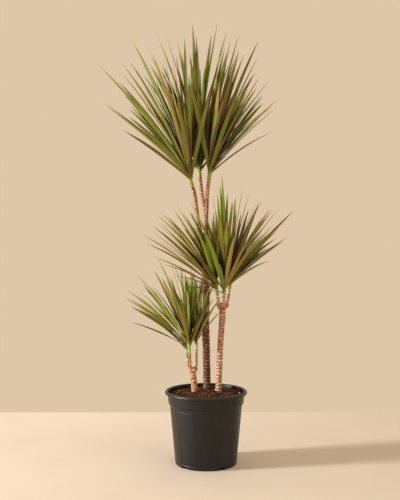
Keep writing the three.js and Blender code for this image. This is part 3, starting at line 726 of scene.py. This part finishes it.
def add_knob(mesh, cane, seed):
    """The lumpy knob on top of a cane, from which its stems rise."""
    middle, size = (metres(triple) for triple in cane["knob"])
    for vert in bmesh.ops.create_icosphere(mesh, subdivisions=4, radius=1)["verts"]:
        lump = noise.noise(vert.co * KNOB_FORM["lump_pitch"] + Vector((seed, 0, 0)))
        ripple = noise.noise(vert.co * KNOB_FORM["ripple_pitch"])
        paint(mesh, vert, {"scar": 0.5 + 0.5 * ripple, "cap": 1})
        share = KNOB_FORM["size"] + KNOB_FORM["lumps"] * lump + KNOB_FORM["ripples"] * ripple
        vert.co = middle + Vector([a * b * share for a, b in zip(vert.co, size)])


def make_cane(cane_name, settings, material):
    """One cane with its knob and its three stems, ringed with leaf scars."""
    cane = CANES[cane_name]
    mesh = bmesh.new()
    for name in ("scar", "cap", "fresh"):
        mesh.verts.layers.float.new(name)
    seed = SEED_STEP * len(cane_name)
    trunk = Line([metres(point) for point in cane["line"]])

    def trunk_form(distance, angle):
        from_top = (trunk.length - distance) / MM
        swell = noise.noise(Vector((0, seed, distance / MM / SWELL["length"]))) * SWELL["height"] * MM
        scar = ring_scar(distance, angle, settings.ring_pitch, seed)
        radius = cane_radius(cane, trunk, distance) + swell
        relief = settings.ring_relief * (scar - RING_SCAR["middle"])
        return radius + relief, {"scar": scar, "cap": ramp(from_top, *CAP)}

    add_tube(mesh, trunk, settings.trunk_sides, settings.step, trunk_form)
    add_knob(mesh, cane, seed)
    for k, side in enumerate(SIDES):
        stem = Line([metres(point) for point in cane["stems"][side]])

        def stem_form(distance, angle, stem=stem, k=k):
            from_top = (stem.length - distance) / MM
            collar = ramp(distance / MM, COLLAR["length"], 0)
            rim = ramp(abs(from_top - STEM_TOP["rim"]), STEM_TOP["rim"], 0)
            bead = (bead_scar(distance, angle, settings.bead_pitch, seed + k) - 0.5) * cane["bead_share"]
            swell = 1 + COLLAR["swell"] * collar + STEM_TOP["swell"] * rim
            green = STEM_TOP["green"] * ramp(from_top, *STEM_TOP["green_from"])
            return cane["stem_radius"] * MM * swell + settings.bead_relief * bead, {
                "scar": 0.5 + bead, "cap": COLLAR["red"] * collar, "fresh": max(cane["green_share"], green),
            }

        add_tube(mesh, stem, settings.stem_sides, settings.step, stem_form)
    piece = new_piece(f"{cane_name}_cane_bark", mesh, [material], NONE_SHARP)
    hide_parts(f"{cane_name}_cane")
    return piece


# ---------------------------------------------------------------- leaves

class Blade:
    """One blade: a bent middle line from root to tip, half its greatest width, and its twist."""

    def __init__(self, root, bend, tip, half, twist):
        self.root = root
        self.bend = bend
        self.tip = tip
        self.half = half
        self.twist = twist
        chord = tip - root
        self.lean = math.degrees(chord.angle(UP))
        self.neck = blend(*NECK_LENGTHS, clamp(self.lean / SPREADING_FROM)) * MM / chord.length

    def sag(self):
        """How far the bend lies off the straight line from root to tip."""
        return self.bend - self.root.lerp(self.tip, 0.5)

    def at(self, share):
        return self.root.lerp(self.bend, share).lerp(self.bend.lerp(self.tip, share), share)

    def along(self, share):
        return ((self.bend - self.root) * (1 - share) + (self.tip - self.bend) * share).normalized()

    def turned(self, share):
        """How much of its twist the blade has made."""
        if share < self.neck:
            return NECK_TWIST * share / self.neck
        return blend(NECK_TWIST, 1, ramp(share, self.neck, RING_SHARES[1]))

    def width(self, share, root_width):
        """Half the blade's width: narrow at the root, widest near the middle, drawn out to a fine tip."""
        widest = RING_SHARES[1]
        if share < self.neck:
            return self.half * blend(root_width, NECK_WIDTH, ramp(share, 0, self.neck))
        if share < widest:
            return self.half * blend(NECK_WIDTH, 1, ramp(share, self.neck, widest))
        return self.half * (1 - ((share - widest) / (1 - widest)) ** TIP_TAPER)


def packed_blade(root, bend, tip, ring):
    """The blade whose upper ring of corners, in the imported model, is the given one."""
    blade = Blade(root, bend, tip, ring["half"] / WIDTH_AT_UPPER_RING, 0)
    along = blade.along(RING_SHARES[0])
    flat = along.cross(UP).normalized().cross(along)
    blade.twist = math.atan2(along.dot(flat.cross(ring["normal"])), flat.dot(ring["normal"]))
    return blade


def next_ring(ring, seen):
    """The vertices linked to a ring that aren't in what was seen before."""
    found = []
    for vert in ring:
        for edge in vert.link_edges:
            other = edge.other_vert(vert)
            if other not in seen and other not in found:
                found.append(other)
    return found


def read_ring(ring):
    """The middle, half width and upward normal of a blade's ring of four corners."""
    first = ring[0]
    linked = {edge.other_vert(first) for edge in first.link_edges}
    facing = next(vert for vert in ring[1:] if vert not in linked)
    pairs = [(first, facing), [vert for vert in ring if vert not in (first, facing)]]
    rib, edges = sorted(pairs, key=lambda pair: (pair[0].co - pair[1].co).length)
    between_edges = (edges[0].co + edges[1].co) / 2
    over, under = sorted(rib, key=lambda vert: (vert.co - between_edges).length)
    return {
        "middle": (over.co + under.co) / 2,
        "half": (edges[0].co - edges[1].co).length / 2,
        "normal": (over.co - under.co).normalized(),
    }


def solve_curve(tip, upper, lower):
    """The root and the bend of the middle line that passes through a blade's tip and its two rings."""
    rows = []
    for share, ring in zip(RING_SHARES, (upper, lower)):
        rows.append(((1 - share) ** 2, 2 * share * (1 - share), ring["middle"] - tip * share ** 2))
    (a, b, first), (c, d, second) = rows
    across = a * d - b * c
    return (first * d - second * b) / across, (second * a - first * c) / across


def read_blades(node):
    """Every blade of a packed head, found by its sharp tip and the rings of corners behind it."""
    mesh = bmesh.new()
    mesh.from_mesh(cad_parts[node].data)
    bmesh.ops.remove_doubles(mesh, verts=mesh.verts, dist=0.01 * MM)
    clear, crossed = [], []
    for vert in mesh.verts:
        ring = next_ring([vert], {vert})
        if len(ring) != 4:
            continue
        reach = min((corner.co - vert.co).length for corner in ring)
        across = max((a.co - b.co).length for a in ring for b in ring)
        if reach < POINT_LENGTH * MM or reach < POINT_SLENDER * across:
            continue
        tip = vert.co.copy()
        upper = read_ring(ring)
        lower = next_ring(ring, {vert, *ring})
        if len(lower) == 4:
            clear.append(packed_blade(*solve_curve(tip, upper, read_ring(lower)), tip, upper))
        else:
            crossed.append((tip, upper))
    mesh.free()
    if len(clear) < 2 * len(crossed) or not clear:
        raise RuntimeError(f"{node}: only {len(clear)} of its blades can be read")
    share = RING_SHARES[0]
    blades = list(clear)
    for tip, upper in crossed:
        root = min(clear, key=lambda blade: (blade.tip - tip).length).root
        bend = (upper["middle"] - root * (1 - share) ** 2 - tip * share ** 2) / (2 * share * (1 - share))
        blades.append(packed_blade(root, bend, tip, upper))
    return blades


def inner_twist(draw):
    """How far an added blade turns about its length, to either side."""
    return draw.choice((-1, 1)) * draw.uniform(*INNER["twist"])


def between(first, second, root, draw):
    """A blade from a given root that ends between two others, shorter and narrower than they are."""
    share = draw.uniform(*INNER["place"])
    tip = root + (first.tip.lerp(second.tip, share) - root) * draw.uniform(*INNER["length"])
    sag = first.sag().lerp(second.sag(), share)
    wander = Vector([draw.uniform(-1, 1) for _ in range(3)]) * INNER["wander"] * MM
    half = blend(first.half, second.half, share) * draw.uniform(*INNER["width"])
    return Blade(root, root.lerp(tip, 0.5) + sag + wander, tip, half, inner_twist(draw))


def listed_blades(node, own, shoot, draw):
    """The blades listed for a head, as wide as the nearest packed ones."""
    more = []
    for place, bow, end in ADDED_BLADES.get(node, ()):
        root = shoot.at(shoot.length * place)
        tip = metres(end)
        chord = tip - root
        rise = chord.cross(UP).cross(chord).normalized() * bow * chord.length
        near = min(own, key=lambda blade: (blade.tip - tip).length)
        more.append(Blade(root, root.lerp(tip, 0.5) + rise, tip, near.half, inner_twist(draw)))
    return more


def fill_gaps(own, crown, share, draw):
    """More blades for a head, each between one of its own and a near one of its crown, and few far out."""
    more = []
    for _ in range(round(len(own) * share)):
        first = draw.choice(own)
        if draw.random() < ramp(first.lean, *SPARSE_LEANS):
            continue
        near = sorted(crown, key=lambda other: (other.tip - first.tip).length)[1:1 + NEIGHBOURS]
        root = first.root.lerp(draw.choice(own).root, draw.random())
        more.append(between(first, draw.choice(near), root, draw))
    return more


# A blade's corners across: how far from the midrib, which face, and the place on the UV map,
# whose left half is the upper face and right half the underside.
BLADE_COLUMNS = (
    (-1, 0, 0), (-0.55, 1, 0.1125), (0, 1, 0.25), (0.55, 1, 0.3875), (1, 0, 0.5), (0, -1, 0.75), (-1, 0, 1),
)
BLADE_ROWS = (0, 0.04, 0.09, 0.17, 0.28, 0.38, 0.48, 0.6, 0.72, 0.84, 0.93, 1)


def add_blade(mesh, blade, paints, core, settings):
    """Adds one fine blade: channelled, thickest along the midrib, with its clasping root in the shoot.
    core is how much painted shade darkens it at its root, and the share of its length along which that fades."""
    dim, reach = core

    def place(column, row, vert):
        across, face, u = BLADE_COLUMNS[column]
        share = BLADE_ROWS[row]
        along = blade.along(share)
        side = along.cross(UP).normalized()
        side.rotate(Quaternion(along, blade.twist * blade.turned(share)))
        normal = side.cross(along)
        inside = 0 if share in (0, 1) else 1
        half = inside * blade.width(share, settings.root_width)
        clasp = settings.channel + settings.clasp * ramp(share, CLASP_BY, 0)
        lift = 2 * clasp * half * abs(across) ** CHANNEL_CURVE
        thick = inside * settings.thickness / 2 * (1 - TIP_THINNING * share)
        # painted shade: darkens the blade's colour from its root along part of its length
        paint(mesh, vert, {**paints, "core": dim * ramp(share, reach, reach / 3)})
        point = blade.at(share) + side * across * half + normal * (lift + face * thick)
        return point, (u, share)

    return add_sheet(mesh, len(BLADE_COLUMNS) - 1, len(BLADE_ROWS) - 1, place)


def leaf_material(settings):
    """Leaves: green to grey-olive, with dark red to pink margins, a paler midrib, pale green roots and
    painted shade on the blades deep inside a head.
    """
    shader = Shader("striped_leaf")
    point = shader.place(source="UV")
    u = shader.part(point, "X")
    v = shader.part(point, "Y")
    tone = shader.attribute("tone")
    blush = shader.attribute("blush")
    youth = shader.attribute("youth")
    edge = abs(abs(u * 2 - 1) * 2 - 1)
    streak_place = shader.add(
        "ShaderNodeVectorMath", {"operation": "ADD"},
        {0: shader.place((30, 1.4, 1), "UV"), 1: shader.place((3, 3, 3))},
    )
    streaks = shader.noise(streak_place, 3, 3)
    start = 0.86 - blush * 0.18 + youth * 0.08 - streaks * 0.06
    margin = shader.lay(settings.margin, (shader.smooth(blush, 0.3, 0.8), settings.margin_light))
    base = shader.lay(
        settings.deep,
        (shader.smooth(tone, 0.12, 0.28), settings.green),
        (shader.smooth(tone, 0.45, 0.6), settings.light),
        (shader.smooth(tone, 0.72, 0.82), settings.olive),
        (shader.smooth(u, 0.499, 0.501) * 0.35, settings.underside),
        (shader.smooth(streaks, 0.46, 0.64) * 0.5, settings.dark),
        (youth * 0.8, settings.young),
        ((1 - shader.smooth(edge, 0.02, 0.14)) * 0.35, settings.young),
        (shader.smooth(edge - start, -0.05, 0.06) * 0.92, margin),
        (shader.smooth(v, 0.84, 1) * 0.5, settings.tip),
        # painted shade: blades deep inside a head turn near black, as if shaded by the others
        (shader.attribute("core") * 0.97, settings.shade),
        ((1 - shader.smooth(v, 0.02, 0.1)) * 0.7, settings.root),
    )
    height = streaks * 0.6 + edge * 0.2
    return shader.finish(base, streaks * 0.14 + settings.roughness, height, 0.0004, Specular_IOR_Level=0.22)


def shoot_material(name, settings, sheath):
    """The green shoot between a brown stem and its leaves: a fresh ring at its foot, then leaf sheaths, and
    painted shade higher up among the leaves.
    """
    shader = Shader(name)
    distance = shader.part(shader.place((1, 1 / MM, 1), "UV"), "Y")
    rings = shader.noise(shader.place((2, 260, 1), "UV"), 1.0, 2)
    base = shader.lay(
        settings.ring,
        (shader.smooth(distance, *SHOOT_ZONES["ring"]), sheath),
        (shader.smooth(distance, *SHOOT_ZONES["sheath"]), settings.root),
        (shader.smooth(rings, 0.45, 0.6) * 0.4, settings.green),
        # painted shade: the shoot turns dark higher up, where its leaves crowd round it
        (shader.smooth(distance, *SHOOT_ZONES["dim"]) * 0.9, settings.shade),
    )
    return shader.finish(base, rings * 0.1 + 0.45, rings, 0.0006, Specular_IOR_Level=0.35)


def shoot_line(cane, side):
    """The middle of a head's shoot, carrying on from its stem."""
    stem = Line([metres(point) for point in cane["stems"][side]])
    foot = stem.at(stem.length)
    top = metres(cane["head_tops"][side])
    along = stem.along(stem.length)
    bend = foot + along * (top - foot).length / 2
    shares = (0, 0.25, 0.5, 0.75, 1)
    return Line([foot.lerp(bend, share).lerp(bend.lerp(top, share), share) for share in shares])


def make_head(cane_name, side, crown, settings, materials):
    """One leafy head of a crown: its shoot and all of its blades."""
    node = f"{cane_name}_head_{side}"
    cane = CANES[cane_name]
    draw = random.Random(node)
    mesh = bmesh.new()
    for name in ("tone", "blush", "youth", "core"):
        mesh.verts.layers.float.new(name)
    line = shoot_line(cane, side)
    looks = CROWNS[cane_name]
    outer = crown[side] + listed_blades(node, crown[side], line, draw)
    inner = fill_gaps(crown[side], sum(crown.values(), []), settings.filling * looks["filling"], draw)
    # Each blade's painted shade: how dark it is at the root, and the share of its length along which that
    # fades.
    blades = [(blade, (ramp(blade.lean, *CORE_SHADE_LEANS), CORE_SHADE_REACH)) for blade in outer]
    blades += [(blade, (draw.uniform(*INNER["dim"]), INNER["reach"])) for blade in inner]
    for blade, core in blades:
        fresh = any((blade.tip - metres(place)).length < reach * MM for place, reach in looks["fresh"])
        paints = {"tone": draw.random(), "blush": draw.uniform(*looks["blush"]), "youth": YOUTH["listed"]}
        if not fresh:
            paints["youth"] = ramp(blade.lean, *YOUNG_LEANS) * draw.uniform(0, YOUTH["others"])
        add_blade(mesh, blade, paints, core, settings)

    def shoot_form(distance, angle):
        sheath = SHEATH["step"] * ramp(distance / MM / SHEATH["pitch"] % 1, 0, 1) - SHEATH["sunk"]
        return (blend(*SHOOT_RADII, distance / line.length) + sheath) * cane["stem_radius"] * MM, {}

    for face in add_tube(mesh, line, SHOOT_SIDES, SHOOT_STEP * MM, shoot_form):
        face.material_index = 1
    head = new_piece(f"{node}_leaves", mesh, materials, LEAF_SHARP)
    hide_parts(node)


# ---------------------------------------------------------------- stage

def plain_floor(settings):
    """A plain pale floor with a painted pool of light: paler to the left, the side the key lamp shines from.
    """
    shader = Shader("pale_floor")
    point = shader.place()
    cloud = shader.noise(point, 3, 3)
    # painted light: the floor fades from the lit left to the right
    light_pool_fade = shader.smooth(shader.part(point, "X"), -0.9, 0.9)
    base = shader.lay(settings.floor_left, (light_pool_fade, settings.floor), (cloud * 0.5, settings.floor_shade))
    return shader.finish(base, cloud * 0.1 + 0.8, cloud, 0.0002, Specular_IOR_Level=0)


def hang_lamp(name, data, at, aim):
    """Puts a lamp at a place and turns it to another."""
    lamp = bpy.data.objects.new(name, data)
    lamp.location = at
    lamp.rotation_euler = (Vector(aim) - Vector(at)).to_track_quat("-Z", "Y").to_euler()
    bpy.context.scene.collection.objects.link(lamp)


def add_sun(name, at, spread, strength, tint):
    """A soft far lamp that lights everything alike, from the side that a place is on."""
    data = bpy.data.lights.new(name, "SUN")
    data.angle = math.radians(spread)
    data.energy = strength
    data.color = tint[:3]
    hang_lamp(name, data, at, (0, 0, 0))


def add_panel(name, at, aim, size, power, tint):
    """A soft square lamp at a place, turned to what it lights."""
    data = bpy.data.lights.new(name, "AREA")
    data.shape = "SQUARE"
    data.size = size
    data.energy = power
    data.color = tint[:3]
    hang_lamp(name, data, at, aim)


def make_stage(settings):
    """The floor, the lamps, the surrounding light and the camera."""
    scene = bpy.context.scene
    mesh = bmesh.new()
    floor_verts = bmesh.ops.create_grid(mesh, x_segments=1, y_segments=1, size=1)["verts"]
    bmesh.ops.scale(mesh, verts=floor_verts, vec=(settings.floor_reach, settings.floor_reach, 1))
    bmesh.ops.translate(mesh, verts=floor_verts, vec=(0, settings.floor_behind - settings.floor_reach, 0))
    floor = add_object("floor", mesh, [plain_floor(settings)])

    world = bpy.data.worlds.new("warm_wall_light")
    world.use_nodes = True
    background = world.node_tree.nodes["Background"]
    background.inputs["Color"].default_value = settings.surround
    background.inputs["Strength"].default_value = settings.surround_power
    scene.world = world

    add_sun("key_light", KEY_FROM, settings.key_spread, settings.key_power, settings.key_tint)
    add_sun("side_light", SIDE_FROM, settings.side_spread, settings.side_power, settings.key_tint)
    add_panel("fill_light", FILL_AT, FILL_AIM, settings.fill_size, settings.fill_power, settings.fill_tint)

    camera = bpy.data.objects.new("camera", bpy.data.cameras.new("camera"))
    camera.data.lens = settings.lens
    camera.location = settings.camera_at
    camera.rotation_euler = (math.radians(90 - settings.camera_tilt), 0, 0)
    scene.collection.objects.link(camera)
    scene.camera = camera
    scene.view_settings.view_transform = "Standard"


# ---------------------------------------------------------------- what a user may change

def setting(kind, **limits):
    def declare(name, description, default):
        if isinstance(default, str):
            default = colour(default)
        return kind(name=name, description=description, default=default, **limits)

    return declare


length_setting = setting(FloatProperty, min=0, unit="LENGTH", subtype="DISTANCE")
share_setting = setting(FloatProperty, min=0, max=1, subtype="FACTOR")
number_setting = setting(FloatProperty)
count_setting = setting(IntProperty, min=3)
colour_setting = setting(FloatVectorProperty, size=4, min=0, max=1, subtype="COLOR")
place_setting = setting(FloatVectorProperty, unit="LENGTH")


class PotSettings(PropertyGroup):
    """The pot's finish and fineness"""

    colour: colour_setting("Plastic", "Colour of the pot's plastic", "090808")
    mottle: colour_setting("Mottle", "Faint second colour of the plastic", "161618")
    dust: colour_setting("Dust", "Colour of the dust on the plastic", "2a2623")
    # painted highlight on the top of the rim
    worn: colour_setting("Worn rim", "Colour on top of the rim", "3c3936")
    # painted shade inside the notches and drain holes
    recess: colour_setting("Recesses", "Colour inside the notches and drain holes", "020202")
    roughness: share_setting("Roughness", "How matte the plastic is", 0.4)
    steps: count_setting("Steps", "Faces round the pot", 160)


class SoilSettings(PropertyGroup):
    """The soil's colours and fineness"""

    colour: colour_setting("Soil", "Colour of moist crumbs", "563521")
    # painted shade: the near black in the hollows between crumbs
    dark: colour_setting("Gaps", "Colour in the gaps between crumbs", "1c0f09")
    light: colour_setting("Fibres", "Colour of dry crumbs and fibres", "9a6847")
    speck: colour_setting("Specks", "Colour of the pale specks", "b09478")
    crumbs: count_setting("Crumbs", "Loose crumbs on top", 900)
    rings: count_setting("Rings", "Faces from the wall to the middle", 56)
    steps: count_setting("Steps", "Faces round the soil", 150)


class BarkSettings(PropertyGroup):
    """The bark's rings, beads and fineness"""

    ring_pitch: length_setting("Ring pitch", "From one leaf-scar ring on a cane to the next", 8.5 * MM)
    ring_relief: length_setting("Ring relief", "How far the rings stand out", 1.3 * MM)
    bead_pitch: length_setting("Bead pitch", "From one row of beads on a stem to the next", 4.2 * MM)
    bead_relief: length_setting("Bead relief", "How far the beads stand out", 0.9 * MM)
    fresh: colour_setting("Fresh bark", "Colour of the youngest bark, under a leafy head", "8f9a55")
    step: length_setting("Step", "Length of the faces along a cane", 1.2 * MM)
    trunk_sides: count_setting("Cane sides", "Faces round a cane", 30)
    stem_sides: count_setting("Stem sides", "Faces round a stem", 20)


class LeafSettings(PropertyGroup):
    """The leaves' shape and colours"""

    thickness: length_setting("Thickness", "Thickness of a blade along its midrib", 0.7 * MM)
    channel: share_setting("Channel", "Height of the edges over the midrib, as a share of the width", 0.15)
    clasp: share_setting("Clasp", "How much deeper the channel is at the root", 0.3)
    root_width: share_setting("Root width", "Width at the root, as a share of the greatest", 0.85)
    filling: number_setting("Filling", "Blades added between the packed ones, as a share of the usual", 1)
    roughness: share_setting("Roughness", "How matte the leaves are", 0.42)
    deep: colour_setting("Deep green", "Colour of a dark blade", "4a6820")
    green: colour_setting("Green", "Colour of a green blade", "6a942e")
    light: colour_setting("Light", "Colour of a light blade", "a0aa48")
    olive: colour_setting("Olive", "Colour of an olive blade", "8c8248")
    young: colour_setting("Young", "Colour of a young blade", "8ab228")
    dark: colour_setting("Dark streaks", "Colour of the darker streaks", "2c3610")
    # painted shade: the near black laid over blades deep inside a head and over a shoot among its leaves
    shade: colour_setting("Core", "Colour of the blades deep inside a head", "140b04")
    underside: colour_setting("Underside", "Colour underneath", "746e3a")
    margin: colour_setting("Margin", "Colour along the edges", "7e1e1c")
    margin_light: colour_setting("Light margin", "Lighter colour along the edges", "c6705a")
    tip: colour_setting("Tip", "Colour of the tips", "8a8236")
    root: colour_setting("Root", "Colour where a blade leaves its shoot", "98aa40")
    ring: colour_setting("Ring", "Colour of the fresh ring at a shoot's foot", "a9b24e")
    sheath: colour_setting("Sheath", "Colour of the pale leaf sheaths above that ring", "b8ae8c")


class StageSettings(PropertyGroup):
    """The floor, the lamps and the camera"""

    floor: colour_setting("Floor", "Colour of the floor", "d4ccc1")
    # painted light: the paler floor on the lit left
    floor_left: colour_setting("Floor, left", "Colour of the floor to the plant's left", "fff8f0")
    floor_shade: colour_setting("Floor shade", "Darker colour of the floor", "ccc2b6")
    floor_behind: length_setting("Behind", "How far the floor reaches behind the plant", 0.59)
    floor_reach: length_setting("Reach", "Half the floor's width", 3.2)
    surround: colour_setting("Surround", "Colour of the surrounding light", "dec6a8")
    surround_power: number_setting("Surround", "Strength of the surrounding light", 1.0)
    key_power: number_setting("Key", "Strength of the key lamp, in watts per square metre", 3.64)
    key_spread: number_setting("Key spread", "How wide the key lamp looks, in degrees", 9)
    key_tint: colour_setting("Key tint", "Colour of the key lamp", "fffaf4")
    side_power: number_setting("Side", "Strength of the low side lamp, in watts per square metre", 1.38)
    side_spread: number_setting("Side spread", "How wide the side lamp looks, in degrees", 16)
    fill_power: number_setting("Fill", "Power of the fill lamp, in watts", 12)
    fill_size: length_setting("Fill size", "Width of the fill lamp", 2)
    fill_tint: colour_setting("Fill tint", "Colour of the fill lamp", "fff4e6")
    lens: number_setting("Lens", "Focal length of the camera, in millimetres", 61.9)
    camera_at: place_setting("Camera", "Place of the camera", (-0.0154, -2.19, 0.616))
    camera_tilt: number_setting("Tilt", "Degrees that the camera looks down", 1.8)


# ---------------------------------------------------------------- operators

class PLANT_OT_pot(Operator):
    """Builds the pot"""

    bl_idname = "plant.make_pot"
    bl_label = "Pot"

    def execute(self, context):
        make_pot(context.scene.plant_pot)
        return {"FINISHED"}


class PLANT_OT_soil(Operator):
    """Builds the soil"""

    bl_idname = "plant.make_soil"
    bl_label = "Soil"

    def execute(self, context):
        make_soil(context.scene.plant_soil)
        return {"FINISHED"}


class PLANT_OT_canes(Operator):
    """Builds the three canes with their stems"""

    bl_idname = "plant.make_canes"
    bl_label = "Canes"

    def execute(self, context):
        settings = context.scene.plant_bark
        for name, (slot, heights, *codes) in BARKS.items():
            material = bark(f"{slot}_finish", heights, *(colour(code) for code in codes), settings.fresh)
            cane = make_cane(name, settings, material)
        return {"FINISHED"}


class PLANT_OT_leaves(Operator):
    """Builds the nine leafy heads"""

    bl_idname = "plant.make_leaves"
    bl_label = "Leaves"

    def execute(self, context):
        settings = context.scene.plant_leaf
        leaf = leaf_material(settings)
        shoot = shoot_material("green_shoot", settings, settings.root)
        sheath = shoot_material("sheathed_shoot", settings, settings.sheath)
        for cane_name in CANES:
            crown = {side: read_blades(f"{cane_name}_head_{side}") for side in SIDES}
            materials = [leaf, sheath if cane_name == "short" else shoot]
            for side in SIDES:
                make_head(cane_name, side, crown, settings, materials)
        return {"FINISHED"}


class PLANT_OT_stage(Operator):
    """Sets the floor, the lamps and the camera"""

    bl_idname = "plant.set_stage"
    bl_label = "Stage"

    def execute(self, context):
        make_stage(context.scene.plant_stage)
        return {"FINISHED"}


SETTINGS = {
    "plant_pot": PotSettings,
    "plant_soil": SoilSettings,
    "plant_bark": BarkSettings,
    "plant_leaf": LeafSettings,
    "plant_stage": StageSettings,
}
OPERATORS = (PLANT_OT_pot, PLANT_OT_soil, PLANT_OT_canes, PLANT_OT_leaves, PLANT_OT_stage)


class PLANT_PT_panel(Panel):
    """Lists the plant's settings and what builds it"""

    bl_label = "Potted Dracaena"
    bl_idname = "PLANT_PT_panel"
    bl_space_type = "VIEW_3D"
    bl_region_type = "UI"
    bl_category = "Plant"

    def draw(self, context):
        for operator, (name, group) in zip(OPERATORS, SETTINGS.items()):
            box = self.layout.box()
            box.operator(operator.bl_idname)
            for key in group.__annotations__:
                box.prop(getattr(context.scene, name), key)


CLASSES = (*SETTINGS.values(), *OPERATORS, PLANT_PT_panel)


def register():
    for cls in CLASSES:
        bpy.utils.register_class(cls)
    for name, group in SETTINGS.items():
        setattr(bpy.types.Scene, name, PointerProperty(type=group))


def unregister():
    for name in SETTINGS:
        delattr(bpy.types.Scene, name)
    for cls in reversed(CLASSES):
        bpy.utils.unregister_class(cls)


def main():
    register()
    bpy.ops.plant.set_stage()
    bpy.ops.plant.make_pot()
    bpy.ops.plant.make_soil()
    bpy.ops.plant.make_canes()
    bpy.ops.plant.make_leaves()


if __name__ == "__main__":
    main()
